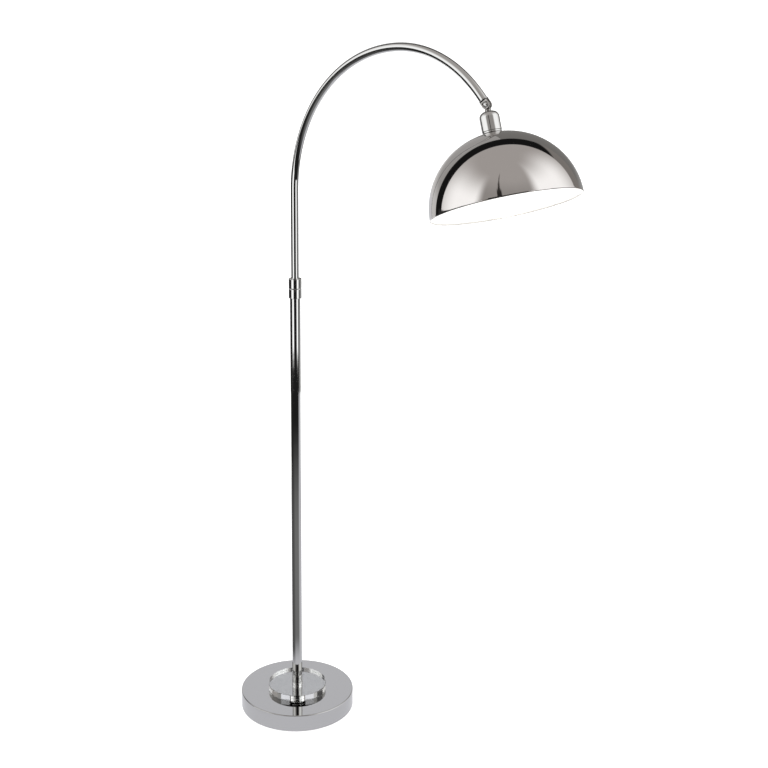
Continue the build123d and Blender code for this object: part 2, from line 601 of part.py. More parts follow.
# Ring between the cup and the shade's crown.
with BuildPart() as cup_ring:
    with BuildSketch(shade_frame.offset(crown)):
        Circle(CUP_RADIUS - CUP_RING_STEP)
    extrude(amount=CUP_RING_HEIGHT)
    fillet(cup_ring.edges().filter_by(GeomType.CIRCLE), CUP_RING_EDGE)
    with BuildSketch(shade_frame.offset(crown)):
        Circle(holder_narrow_radius + THREAD_CLEARANCE)
    extrude(amount=CUP_RING_HEIGHT, mode=Mode.SUBTRACT)
save(cup_ring.part, "cup_ring")

# Lamp holder: moulded body, wide in the cup and narrow and threaded through the shade.
with BuildPart() as lamp_holder:
    with BuildSketch(shade_frame.offset(holder_step)):
        Circle(holder_wide_radius)
    extrude(amount=holder_top - holder_step)
    holder_rims = lamp_holder.edges().filter_by(GeomType.CIRCLE).sort_by(shade_axis)
    fillet(holder_rims[-1], HOLDER_TOP_WALL)
    with BuildSketch(shade_frame.offset(holder_bottom)):
        Circle(holder_narrow_radius)
    extrude(amount=holder_step - holder_bottom)
    with BuildSketch(shade_frame.offset(holder_bottom)):
        Circle(screw_shell_hole)
    extrude(amount=SCREW_SHELL_LENGTH, mode=Mode.SUBTRACT)
    with BuildSketch(shade_frame.offset(nipple_bottom)):
        Circle(nipple_hole_radius)
    extrude(amount=HOLDER_TOP_WALL, mode=Mode.SUBTRACT)
save(lamp_holder.part, "lamp_holder")

with BuildPart() as screw_shell:
    with BuildSketch(shade_frame.offset(holder_bottom)):
        Circle(screw_shell_radius)
        Circle(screw_shell_radius - SCREW_SHELL_WALL, mode=Mode.SUBTRACT)
    extrude(amount=SCREW_SHELL_LENGTH)
save(screw_shell.part, "screw_shell")

with BuildPart() as centre_contact:
    with BuildSketch(shade_frame.offset(shell_top - CONTACT_THICKNESS)):
        Circle(CONTACT_RADIUS)
    extrude(amount=CONTACT_THICKNESS)
save(centre_contact.part, "centre_contact")

# ================================================================ shade
rim = crown - SHADE_DEPTH
with BuildPart() as shade:
    with BuildSketch(shade_profile):
        with BuildLine():
            EllipticalCenterArc((0, rim), SHADE_RADIUS, SHADE_DEPTH, start_angle=0, arc_size=90)
            Line((0, crown), (0, crown - SHADE_WALL))
            EllipticalCenterArc(
                (0, rim),
                SHADE_RADIUS - SHADE_WALL,
                SHADE_DEPTH - SHADE_WALL,
                start_angle=0,
                arc_size=90,
            )
            Line((SHADE_RADIUS - SHADE_WALL, rim), (SHADE_RADIUS, rim))
        make_face()
    revolve(axis=shade_axis)
    with BuildSketch(shade_frame.offset(crown - 2 * SHADE_WALL)):
        Circle(holder_narrow_radius + SHADE_HOLE_CLEARANCE)
    extrude(amount=2 * SHADE_WALL, mode=Mode.SUBTRACT)
save(shade.part, "shade")

# Threaded ring under the crown.
inner_radius = SHADE_RADIUS - SHADE_WALL
inner_depth = SHADE_DEPTH - SHADE_WALL
nut_drop = inner_depth * (1 - (1 - (SHADE_NUT_RADIUS / inner_radius) ** 2) ** 0.5)
nut_top = crown - SHADE_WALL - nut_drop
with BuildPart() as shade_nut:
    with BuildSketch(shade_frame.offset(nut_top - SHADE_NUT_HEIGHT)):
        Circle(SHADE_NUT_RADIUS)
        Circle(holder_narrow_radius + THREAD_CLEARANCE, mode=Mode.SUBTRACT)
    extrude(amount=SHADE_NUT_HEIGHT)
save(shade_nut.part, "shade_nut")

# ================================================================ bulb
cap_radius = screw_shell_radius - SCREW_SHELL_WALL - CAP_CLEARANCE
bulb_neck_radius = cap_radius - CAP_WALL - BULB_NECK_CLEARANCE
bulb_tip = shell_top - CONTACT_THICKNESS
cap_top = bulb_tip - CAP_TIP_HEIGHT
cap_bottom = cap_top - CAP_LENGTH
bulb_end = bulb_tip - BULB_LENGTH
ball_centre = bulb_end + BULB_RADIUS

with BuildPart() as bulb_contact:
    with BuildSketch(shade_frame.offset(cap_top)):
        Circle(CAP_TIP_RADIUS)
    extrude(amount=CAP_TIP_HEIGHT, taper=30)
save(bulb_contact.part, "bulb_contact")

with BuildPart() as bulb_cap:
    with BuildSketch(shade_frame.offset(cap_bottom)):
        Circle(cap_radius)
    extrude(amount=CAP_LENGTH)
    cap_rims = bulb_cap.edges().filter_by(GeomType.CIRCLE).sort_by(shade_axis)
    chamfer(cap_rims[-1], CAP_TIP_RADIUS)
    with BuildSketch(shade_frame.offset(cap_bottom)):
        Circle(cap_radius - CAP_WALL)
    extrude(amount=CAP_LENGTH - CAP_TIP_RADIUS - CAP_WALL, mode=Mode.SUBTRACT)
save(bulb_cap.part, "bulb_cap")

# Bulb: a ball that runs into the neck in one smooth curve, open inside the cap.
neck_top = cap_bottom + CAP_LENGTH / 2
with BuildPart() as bulb_glass:
    with BuildSketch(shade_profile):
        with BuildLine():
            ball = CenterArc((0, ball_centre), BULB_RADIUS, -90, 90 + BULB_SHOULDER_ANGLE)
            neck = Spline([ball @ 1, (bulb_neck_radius, cap_bottom)], tangents=[ball % 1, (0, 1)])
            Line(neck @ 1, (bulb_neck_radius, neck_top))
            Line((bulb_neck_radius, neck_top), (0, neck_top))
            Line((0, neck_top), ball @ 0)
        make_face()
    revolve(axis=shade_axis)
    bulb_mouth = bulb_glass.faces().filter_by(GeomType.PLANE).sort_by(shade_axis)[-1]
    offset(amount=-BULB_GLASS_WALL, openings=bulb_mouth)
save(bulb_glass.part, "bulb_glass")

# ================================================================ flex inside the arm
wire_end = arm_end - arm_end_dir * 2
with BuildPart() as arm_wire:
    with BuildLine(Plane.XZ) as wire_line:
        wire_rise = Line((0, arm_bottom - WIRE_TAIL), (0, ARM_BEND_START))
        wire_bend = JernArc(wire_rise @ 1, wire_rise % 1, BEND_RISE_RADIUS, -BEND_RISE_ANGLE)
        wire_fall = JernArc(wire_bend @ 1, wire_bend % 1, BEND_FALL_RADIUS, -BEND_FALL_ANGLE)
        Line(wire_fall @ 1, wire_end)
    with BuildSketch(Plane.XY.offset(arm_bottom - WIRE_TAIL)):
        Circle(WIRE_RADIUS)
    sweep(path=wire_line.wires()[0])
save(arm_wire.part, "arm_wire")

print("knuckle centre (m)", [round(value / 1000, 6) for value in knuckle_centre])
print("arm end direction", [round(value, 6) for value in arm_end_dir])
print("tilt axis", [round(value, 6) for value in hinge_dir])
print("shade up", [round(value, 6) for value in shade_up_dir])
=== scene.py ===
"""Arc floor lamp in polished chrome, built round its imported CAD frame.

Metres. The pole stands on the origin along +Z and the arm reaches along +X. Every size that
the CAD holds is measured from its nodes; what is set here is the rounding of edges and the
finishes.
"""
import json
import math

import bmesh
import bpy
import numpy as np
from mathutils import Matrix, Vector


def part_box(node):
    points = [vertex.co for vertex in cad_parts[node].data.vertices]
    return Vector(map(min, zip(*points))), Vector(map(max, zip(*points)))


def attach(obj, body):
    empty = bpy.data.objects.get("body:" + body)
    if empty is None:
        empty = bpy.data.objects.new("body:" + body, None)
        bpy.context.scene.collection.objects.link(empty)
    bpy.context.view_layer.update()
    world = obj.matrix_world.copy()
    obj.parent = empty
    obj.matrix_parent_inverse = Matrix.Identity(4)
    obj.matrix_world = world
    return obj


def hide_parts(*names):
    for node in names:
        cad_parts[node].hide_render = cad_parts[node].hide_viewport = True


bl_info = {
    "name": "Arc floor lamp",
    "version": (1, 0, 0),
    "blender": (4, 5, 0),
    "location": "View3D > Sidebar > Lamp",
    "description": "Builds the surfaces and finishes of an arc floor lamp on its CAD frame",
    "category": "Add Mesh",
}

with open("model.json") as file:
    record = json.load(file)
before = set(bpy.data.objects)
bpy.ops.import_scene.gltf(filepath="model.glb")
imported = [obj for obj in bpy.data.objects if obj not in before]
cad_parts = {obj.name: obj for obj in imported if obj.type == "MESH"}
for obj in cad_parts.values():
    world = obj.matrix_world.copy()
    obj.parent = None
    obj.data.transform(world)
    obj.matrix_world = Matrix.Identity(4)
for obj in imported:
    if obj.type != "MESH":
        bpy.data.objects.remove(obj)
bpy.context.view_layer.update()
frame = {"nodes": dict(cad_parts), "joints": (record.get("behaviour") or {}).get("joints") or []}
MM = 0.001
JOINTS = {joint["name"]: joint for joint in frame["joints"]}


# ---------------------------------------------------------------- frames and measures
def unit(vector):
    """The vector at length one."""
    vector = np.asarray(vector, float)
    return vector / np.linalg.norm(vector)


class Seat:
    """An origin and three axes that a piece is worked out in: z runs along the piece."""

    def __init__(self, origin, z, x=(1, 0, 0)):
        self.origin = np.asarray(origin, float)
        self.z = unit(z)
        self.x = unit(np.asarray(x, float) - np.dot(x, self.z) * self.z)
        self.y = np.cross(self.z, self.x)

    def place(self, points):
        """Local points, an array of (..., 3), as points in the row's frame."""
        return self.origin + points @ np.stack([self.x, self.y, self.z])

    def local(self, points):
        """Points of the row's frame as local ones."""
        return (points - self.origin) @ np.stack([self.x, self.y, self.z]).T


def node_points(name):
    """Every vertex of a CAD node, as an array."""
    mesh = frame["nodes"][name].data
    flat = np.empty(len(mesh.vertices) * 3, np.float32)
    mesh.vertices.foreach_get("co", flat)
    return flat.reshape(-1, 3).astype(float)


def measure(name, seat):
    """Outer radius, bore radius, lowest and highest point of a node about a seat's axis."""
    local = seat.local(node_points(name))
    radius = np.hypot(local[:, 0], local[:, 1])
    return radius.max(), radius.min(), local[:, 2].min(), local[:, 2].max()


KNUCKLE = np.array(JOINTS["shade_tilt"]["pos_m"])
TILT_AXIS = unit(JOINTS["shade_tilt"]["axis"])
ARM_END_DIR = unit(JOINTS["head_swivel"]["axis"])
RING_CENTRE = np.mean([list(corner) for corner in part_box("cup_ring")], axis=0)
POLE_SEAT = Seat((0, 0, 0), (0, 0, 1))
FORK_SEAT = Seat(KNUCKLE, -ARM_END_DIR, TILT_AXIS)
SHADE_SEAT = Seat(KNUCKLE, KNUCKLE - RING_CENTRE, TILT_AXIS)


# ---------------------------------------------------------------- surfaces
def new_piece(name, vertices, faces, look):
    """A mesh object in a finish, with its doubles merged and its faces outwards."""
    mesh = bpy.data.meshes.new(name)
    mesh.from_pydata(vertices.tolist(), [], faces.tolist())
    cleaner = bmesh.new()
    cleaner.from_mesh(mesh)
    bmesh.ops.remove_doubles(cleaner, verts=cleaner.verts, dist=1e-7)
    bmesh.ops.dissolve_degenerate(cleaner, dist=1e-8, edges=cleaner.edges)
    bmesh.ops.recalc_face_normals(cleaner, faces=cleaner.faces)
    cleaner.to_mesh(mesh)
    cleaner.free()
    mesh.shade_smooth()
    mesh.materials.append(finish(look))
    piece = bpy.data.objects.new(name, mesh)
    bpy.context.scene.collection.objects.link(piece)
    return piece


def grid_faces(rows, columns, close_rows, close_columns):
    """Quads that join the points of a grid, wrapped round in either direction."""
    row = np.arange(rows if close_rows else rows - 1)
    column = np.arange(columns if close_columns else columns - 1)
    here, there = np.meshgrid(row, column, indexing="ij")
    next_row = (here + 1) % rows
    next_column = (there + 1) % columns
    corners = [
        here * columns + there,
        next_row * columns + there,
        next_row * columns + next_column,
        here * columns + next_column,
    ]
    return np.stack(corners, -1).reshape(-1, 4)


def softened(points, radii, steps=8, hold=0.35 * MM):
    """A closed outline with each corner rounded by an arc of its own radius.

    The arc touches both sides at the radius over the tangent of half the corner's angle. Two
    corners that want more than their side has share it in proportion. One more point just
    beyond each touch keeps the flats flat under smooth shading.
    """
    points = np.asarray(points, float)
    into = np.roll(points, 1, axis=0) - points
    away = np.roll(points, -1, axis=0) - points
    side = np.linalg.norm(away, axis=1)
    into /= np.linalg.norm(into, axis=1)[:, None]
    away /= side[:, None]
    half = np.arccos(np.clip((into * away).sum(axis=1), -1, 1)) / 2
    wanted = np.asarray(radii, float) / np.tan(half)
    share = np.minimum(1, 0.94 * side / (wanted + np.roll(wanted, -1) + 1e-9))
    touch = wanted * np.minimum(share, np.roll(share, 1))
    out = []
    for i, corner in enumerate(points):
        radius = touch[i] * math.tan(half[i])
        centre = corner + unit(into[i] + away[i]) * radius / math.sin(half[i])
        start = corner + into[i] * touch[i] - centre
        turn = np.sign(into[i][0] * away[i][1] - into[i][1] * away[i][0])
        angle = -turn * (math.pi - 2 * half[i]) * np.linspace(0, 1, steps)
        spun = np.stack(
            [
                start[0] * np.cos(angle) - start[1] * np.sin(angle),
                start[0] * np.sin(angle) + start[1] * np.cos(angle),
            ],
            -1,
        )
        room = 0.03 * np.array([side[i - 1], side[i]])
        lead = touch[i] + np.minimum(hold, room)
        out += [corner + into[i] * lead[0], *(centre + spun), corner + away[i] * lead[1]]
    return np.array(out)


def turned(name, outline, seat, look="chrome", closed=True, segments=128, ripple=None):
    """A surface of revolution: each outline point (radius, height) goes round the seat's z axis.

    A closed outline's stretch along the axis makes no faces, so the piece is closed by its poles.
    ripple, if given, is a function of radius, angle and height that returns a new radius.
    """
    outline = np.asarray(outline, float)
    on_axis = outline[:, 0] < 1e-9
    outline = outline[~(on_axis & np.roll(on_axis, 1) & np.roll(on_axis, -1))]
    closed = closed and outline[[0, -1], 0].max() > 1e-9
    angle = np.linspace(0, 2 * math.pi, segments, endpoint=False)
    radius, around = np.meshgrid(outline[:, 0], angle, indexing="ij")
    height = np.repeat(outline[:, 1:2], segments, axis=1)
    if ripple is not None:
        radius = ripple(radius, around, height)
    local = np.stack([radius * np.cos(around), radius * np.sin(around), height], -1)
    faces = grid_faces(len(outline), segments, closed, True)
    return new_piece(name, seat.place(local.reshape(-1, 3)), faces, look)


def ring_outline(bore, radius, low, high, edges):
    """The rounded rectangle that a plain ring is turned from; edges are the four radii,
    from the bore's foot round by the outside."""
    corners = [(bore, low), (radius, low), (radius, high), (bore, high)]
    return softened(corners, edges)


def plate(name, outline, low, high, edge, seat, steps=6):
    """A flat casting with rounded edges, along the seat's x axis between low and high.

    Each row of the grid is the outline (local y, z) moved in along its normal: from nothing at
    the face's middle, out over the rounded edge, across the wall and back to the other middle.
    One more row inside the edge keeps the face flat under smooth shading.
    """
    points, normal = outline
    flat_from = 1.6 * edge
    bend = np.linspace(0, math.pi / 2, steps)
    inset = edge * (1 - np.sin(bend))
    rise = edge * (1 - np.cos(bend))
    insets = np.concatenate([[flat_from], inset, inset[::-1], [flat_from]])
    across = np.concatenate([[low, low], low + rise, high - rise[::-1], [high, high]])
    rows = points[None] - normal[None] * insets[:, None, None]
    middle = np.broadcast_to(points.mean(axis=0), (1,) + points.shape)
    rows = np.concatenate([middle, rows, middle])
    depth = np.broadcast_to(across[:, None, None], rows.shape[:2] + (1,))
    local = np.concatenate([depth, rows], -1)
    faces = grid_faces(rows.shape[0], rows.shape[1], False, True)
    return new_piece(name, seat.place(local.reshape(-1, 3)), faces, "casting")


def rounded_box_outline(half_width, low, high, corner, steps=8):
    """Outline and normals of a rectangle with round corners: a point at the corner radius
    round each of the four corner centres, in turn."""
    return arcs_outline(
        [
            (half_width - corner, high - corner, corner, 0, 90),
            (corner - half_width, high - corner, corner, 90, 180),
            (corner - half_width, low + corner, corner, 180, 270),
            (half_width - corner, low + corner, corner, 270, 360),
        ],
        steps,
    )


def arcs_outline(arcs, steps=24):
    """Outline and normals of a run of arcs joined by straight sides. Each arc is its centre,
    its radius, and the two angles in degrees that it goes between."""
    arcs = np.asarray(arcs, float)
    share = np.linspace(0, 1, steps)
    angle = np.radians(arcs[:, 3:4] + (arcs[:, 4:5] - arcs[:, 3:4]) * share)
    normal = np.stack([np.cos(angle), np.sin(angle)], -1)
    points = arcs[:, None, :2] + arcs[:, None, 2:3] * normal
    return points.reshape(-1, 2), normal.reshape(-1, 2)


def combined(piece, other, operation):
    """Joins another closed piece to this one or cuts it away, then creases the sharp edges."""
    step = piece.modifiers.new(operation.title(), "BOOLEAN")
    step.operation, step.solver, step.object = operation, "EXACT", other
    bpy.context.view_layer.objects.active = piece
    bpy.ops.object.modifier_apply(modifier=step.name)
    bpy.data.objects.remove(other)
    piece.data.set_sharp_from_angle(angle=math.radians(40))


def carried_tube(name, line, tangent, outer, inner, lip, segments=48):
    """A chrome tube whose round wall is carried along a flat line in the XZ plane.

    Rows run out along the outside, over the rounded lip and back along the bore. Round each
    row, the two directions are the line's normal in its plane and the Y axis.
    """
    normal = np.stack([tangent[:, 2], np.zeros(len(tangent)), -tangent[:, 0]], -1)
    side = np.array([0.0, 1.0, 0.0])
    bend = np.linspace(0, math.pi / 2, 5)
    out_lip = lip * (1 - np.sin(bend))
    in_lip = lip * (1 - np.cos(bend))
    radii = np.concatenate(
        [
            outer - out_lip,
            np.full(len(line) - 2, outer),
            outer - out_lip[::-1],
            inner + out_lip,
            np.full(len(line) - 2, inner),
            inner + out_lip[::-1],
        ]
    )
    start = line[0] + tangent[0] * in_lip[:, None]
    end = line[-1] - tangent[-1] * in_lip[::-1][:, None]
    centres = np.concatenate([start, line[1:-1], end, end[::-1], line[1:-1][::-1], start[::-1]])
    first = np.repeat(normal[:1], len(bend), axis=0)
    last = np.repeat(normal[-1:], len(bend), axis=0)
    normals = np.concatenate([first, normal[1:-1], last, last, normal[1:-1][::-1], first])
    angle = np.linspace(0, 2 * math.pi, segments, endpoint=False)
    spokes = (
        np.cos(angle)[None, :, None] * normals[:, None]
        + np.sin(angle)[None, :, None] * side[None, None]
    )
    points = centres[:, None] + radii[:, None, None] * spokes
    faces = grid_faces(len(radii), segments, True, True)
    return new_piece(name, points.reshape(-1, 3), faces, "chrome")


# ---------------------------------------------------------------- node helpers
def linear(hex_colour):
    """An sRGB hex colour as linear red, green, blue and alpha."""
    channels = [int(hex_colour[i : i + 2], 16) / 255 for i in (1, 3, 5)]
    curve = [c / 12.92 if c <= 0.04045 else ((c + 0.055) / 1.055) ** 2.4 for c in channels]
    return (*curve, 1.0)


def add_node(tree, kind, links=(), **settings):
    """Adds a node. settings are its properties, or its inputs by name or number as in_NAME;
    links are (output socket, input name or number)."""
    node = tree.nodes.new(kind)
    for key, value in settings.items():
        if not key.startswith("in_"):
            setattr(node, key, value)
    for key, value in settings.items():
        if key.startswith("in_"):
            name = key[3:].replace("_", " ")
            node.inputs[int(name) if name.isdigit() else name].default_value = value
    for socket, target in links:
        tree.links.new(socket, node.inputs[target])
    return node


def new_material(name, kind="ShaderNodeBsdfPrincipled", **inputs):
    """A material with one shader, its inputs set as add_node sets them, and its output."""
    material = bpy.data.materials.new(name)
    material.use_nodes = True
    tree = material.node_tree
    tree.nodes.clear()
    shader = add_node(tree, kind, **inputs)
    add_node(tree, "ShaderNodeOutputMaterial", [(shader.outputs[0], "Surface")])
    return material, tree, shader


def computed(tree, operation, *values):
    """The result of a math node on sockets or numbers."""
    node = add_node(tree, "ShaderNodeMath", operation=operation)
    for entry, value in zip(node.inputs, values):
        if isinstance(value, (int, float)):
            entry.default_value = value
        else:
            tree.links.new(value, entry)
    return node.outputs[0]


def object_noise(tree, scale, detail=2.0, roughness=0.5, stretch=(1, 1, 1)):
    """Noise on Object coordinates; scale is in repeats per metre."""
    coordinates = add_node(tree, "ShaderNodeTexCoord")
    mapping = add_node(
        tree, "ShaderNodeMapping", [(coordinates.outputs["Object"], "Vector")], in_Scale=stretch
    )
    return add_node(
        tree,
        "ShaderNodeTexNoise",
        [(mapping.outputs[0], "Vector")],
        in_Scale=scale,
        in_Detail=detail,
        in_Roughness=roughness,
    )


def ranged(tree, socket, low, high, to_low, to_high, smooth=False):
    """A value mapped from one range to another, and held inside it."""
    kind = "SMOOTHSTEP" if smooth else "LINEAR"
    node = add_node(
        tree,
        "ShaderNodeMapRange",
        [(socket, 0)],
        interpolation_type=kind,
        in_1=low,
        in_2=high,
        in_3=to_low,
        in_4=to_high,
    )
    return node.outputs[0]


def bumped(tree, shader, height, distance, strength=1.0):
    """Drives the shader's normal from a height, distance metres deep."""
    bump = add_node(
        tree, "ShaderNodeBump", [(height, "Height")], in_Strength=strength, in_Distance=distance
    )
    tree.links.new(bump.outputs[0], shader.inputs["Normal"])


def coloured(tree, shader, factor, first, second):
    """Colours the shader between two hex colours, by a factor."""
    mix = add_node(
        tree, "ShaderNodeMix", [(factor, 0)], data_type="RGBA", in_6=linear(first), in_7=linear(second)
    )
    tree.links.new(mix.outputs[2], shader.inputs["Base Color"])


# ---------------------------------------------------------------- finishes
def buffed_chrome(name, colour, haze, swell):
    """A chrome mirror. haze is the scale of its duller patches and the two roughnesses that they
    run between; swell is the scale of its long waves and their depth in metres."""
    haze_scale, low, high = haze
    swell_scale, depth = swell
    material, tree, shader = new_material(name, in_Base_Color=linear(colour), in_Metallic=1.0)
    patches = object_noise(tree, scale=haze_scale, detail=3)
    roughness = ranged(tree, patches.outputs[0], 0.45, 0.8, low, high)
    tree.links.new(roughness, shader.inputs["Roughness"])
    waves = object_noise(tree, scale=swell_scale, detail=1)
    bumped(tree, shader, waves.outputs[0], depth)
    return material


def chrome_plate(colour):
    """Chrome plate on polished steel: a mirror whose buffing shows as a faint long swell, with
    slightly duller patches where it has been handled."""
    return buffed_chrome("Chrome plate, buffed", colour, (26, 0.025, 0.07), (38, 0.00004))


def shade_chrome(colour):
    """Chrome plate on a spun dome: the same mirror, with the longer swell that spinning leaves."""
    return buffed_chrome("Chrome plate, spun and buffed", colour, (14, 0.03, 0.08), (9, 0.00005))


def white_enamel(colour):
    """Stoved white enamel inside the shade: glossy, with the orange peel of sprayed paint, which
    has waves of about 2 mm."""
    material, tree, shader = new_material(
        "White enamel, stoved", in_Base_Color=linear(colour), in_Roughness=0.28, in_IOR=1.52
    )
    peel = object_noise(tree, scale=500, detail=1)
    bumped(tree, shader, peel.outputs[0], 0.00002, strength=0.6)
    return material


def clear_acrylic(colour):
    """Cast acrylic, turned and polished: clear, with a slightly cool body."""
    material, _, _ = new_material(
        "Acrylic, cast and polished", in_Base_Color=linear(colour), in_Roughness=0.0, in_IOR=1.49,
        in_Transmission_Weight=1.0,
    )
    return material


def cast_iron():
    """Sand-cast iron in black paint: a grain of about a millimetre."""
    material, tree, shader = new_material("Cast iron, painted", in_Roughness=0.7)
    grain = object_noise(tree, scale=900, detail=4)
    coloured(tree, shader, grain.outputs[0], "#1c1c1d", "#343433")
    bumped(tree, shader, grain.outputs[0], 0.0005)
    return material


def pressed_felt():
    """Grey pressed felt: matted fibres a few tenths of a millimetre wide, drawn at 0.8 mm."""
    material, tree, shader = new_material("Felt, pressed", in_Roughness=0.95, in_Sheen_Weight=0.3)
    fibres = object_noise(tree, scale=1250, detail=6, roughness=0.7)
    coloured(tree, shader, fibres.outputs[0], "#2b2b2c", "#565657")
    bumped(tree, shader, fibres.outputs[0], 0.0006)
    return material


def moulded(name, first, second, roughness, ior):
    """A moulded piece: two close colours in a fine grain, and the grain's shallow relief."""
    material, tree, shader = new_material(name, in_Roughness=roughness, in_IOR=ior)
    speckle = object_noise(tree, scale=700, detail=3)
    coloured(tree, shader, speckle.outputs[0], first, second)
    bumped(tree, shader, speckle.outputs[0], 0.00008)
    return material


def bare_metal(name, first, second, low, high, scale=220):
    """A plain metal surface: a patchy sheen between two colours and two roughnesses."""
    material, tree, shader = new_material(name, in_Metallic=1.0)
    patches = object_noise(tree, scale=scale, detail=3)
    coloured(tree, shader, patches.outputs[0], first, second)
    roughness = ranged(tree, patches.outputs[0], 0.3, 0.7, low, high)
    tree.links.new(roughness, shader.inputs["Roughness"])
    return material


def frosted_glass(colour, glow):
    """A bulb's glass, etched white inside and lit: a soft even glow under a smooth surface."""
    colour = linear(colour)
    material, tree, shader = new_material(
        "Glass, frosted inside", in_Base_Color=colour, in_Roughness=0.2, in_IOR=1.5,
        in_Emission_Color=colour, in_Emission_Strength=glow,
    )
    etch = object_noise(tree, scale=600, detail=2)
    bumped(tree, shader, etch.outputs[0], 0.00003)
    return material


# Each finish's slot in the record, for the pieces made here.
FINISHES = {}


def finish(name):
    """The named finish, made once."""
    if name not in FINISHES:
        looks = bpy.context.scene.lamp_finishes
        makers = {
            "chrome": lambda: chrome_plate(looks.chrome),
            "shade_chrome": lambda: shade_chrome(looks.shade_chrome),
            "enamel": lambda: white_enamel(looks.enamel),
            "acrylic": lambda: clear_acrylic(looks.acrylic),
            "iron": cast_iron,
            "zinc": lambda: bare_metal("Zinc plate, passivated", "#b9bcbe", "#c9c6b4", 0.25, 0.42, 120),
            "felt": pressed_felt,
            "rubber": lambda: moulded("Rubber, moulded", "#111111", "#1b1b1b", 0.6, 1.52),
            "nylon": lambda: moulded("Nylon, moulded", "#dedbd0", "#e9e7de", 0.45, 1.53),
            "phenolic": lambda: moulded("Phenolic, moulded", "#15120f", "#1f1b17", 0.35, 1.62),
            "flex": lambda: moulded("PVC flex, extruded", "#c9c2a8", "#d6d0bb", 0.3, 1.54),
            # casting: the knuckle's chrome, darker and duller than the rest. The darker colour is painted
            # shade; the higher roughness belongs to the casting.
            "casting": lambda: bare_metal("Chrome on a zinc casting, darkened as painted shade", "#8a8886", "#9c9a98", 0.1, 0.2),
            "brass": lambda: bare_metal("Brass, drawn", "#cfa863", "#dcb878", 0.2, 0.35),
            "cap": lambda: bare_metal("Aluminium, rolled", "#c6c8ca", "#d6d7d8", 0.18, 0.32),
            "glass": lambda: frosted_glass(looks.bulb, looks.bulb_glow),
        }
        FINISHES[name] = makers[name]()
    return FINISHES[name]


def refinish(node, name):
    """Gives a CAD node that stays its finish."""
    piece = frame["nodes"][node]
    if not piece.material_slots:
        piece.data.materials.append(finish(name))
    for slot in piece.material_slots:
        slot.material = finish(name)


def seated(piece, body, *nodes):
    """Rides a finished piece on its body, in place of CAD nodes."""
    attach(piece, body)
    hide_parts(*nodes)


# ---------------------------------------------------------------- settings
class LampSizes(bpy.types.PropertyGroup):
    """Edge radii and the arm's bend, in metres."""

    drum_edge: bpy.props.FloatProperty(
        name="Drum edge", description="Radius of the drum's top edge", default=1.6 * MM, unit="LENGTH"
    )
    tube_lip: bpy.props.FloatProperty(
        name="Tube lip", description="Radius of a cut tube's edge", default=0.3 * MM, unit="LENGTH"
    )
    groove: bpy.props.FloatProperty(
        name="Collar groove", description="Bevel each side of the collar's joint", default=1.1 * MM,
        unit="LENGTH",
    )
    knuckle_edge: bpy.props.FloatProperty(
        name="Knuckle edge", description="Radius of the ears' edges", default=1.2 * MM,
        unit="LENGTH",
    )
    rim_curl: bpy.props.FloatProperty(
        name="Rim curl", description="Radius of the shade's inward curl", default=2.2 * MM,
        unit="LENGTH",
    )
    cup_shoulder: bpy.props.FloatProperty(
        name="Cup shoulder", description="Radius of the socket cup's shoulder", default=11 * MM,
        unit="LENGTH",
    )
    bend_start: bpy.props.FloatProperty(
        name="Bend start", description="Height where the arm starts to bend", default=1.165,
        unit="LENGTH",
    )
    rise_radius: bpy.props.FloatProperty(
        name="Rise radius", description="Radius of the arm's rising bend", default=0.298,
        unit="LENGTH",
    )
    rise_angle: bpy.props.FloatProperty(
        name="Rise angle", description="Turn of the rising bend", default=math.radians(84.4),
        subtype="ANGLE",
    )
    fall_radius: bpy.props.FloatProperty(
        name="Fall radius", description="Radius of the arm's falling bend", default=0.246,
        unit="LENGTH",
    )
    fall_angle: bpy.props.FloatProperty(
        name="Fall angle", description="Turn of the falling bend", default=math.radians(51.0),
        subtype="ANGLE",
    )
    arm_tail: bpy.props.FloatProperty(
        name="Arm tail", description="Straight end after the bend", default=10 * MM, unit="LENGTH"
    )


class LampFinishes(bpy.types.PropertyGroup):
    """Colours as sRGB hex values, and the bulb's glow."""

    chrome: bpy.props.StringProperty(
        name="Chrome", description="Colour of the chrome plate", default="#c5c5c4"
    )
    shade_chrome: bpy.props.StringProperty(
        name="Shade chrome", description="Colour of the chrome plate on the shade",
        default="#c8c5c3",
    )
    enamel: bpy.props.StringProperty(
        name="Enamel", description="Colour inside the shade", default="#f6f6f4"
    )
    acrylic: bpy.props.StringProperty(
        name="Acrylic", description="Colour of the clear disc", default="#fbfcfc"
    )
    bulb: bpy.props.StringProperty(
        name="Bulb", description="Colour of the bulb's glass", default="#fffaf2"
    )
    bulb_glow: bpy.props.FloatProperty(
        name="Bulb glow", description="Strength of the bulb's light", default=3.0
    )
    floor: bpy.props.StringProperty(
        name="Floor", description="Colour of the studio floor", default="#fafafa"
    )


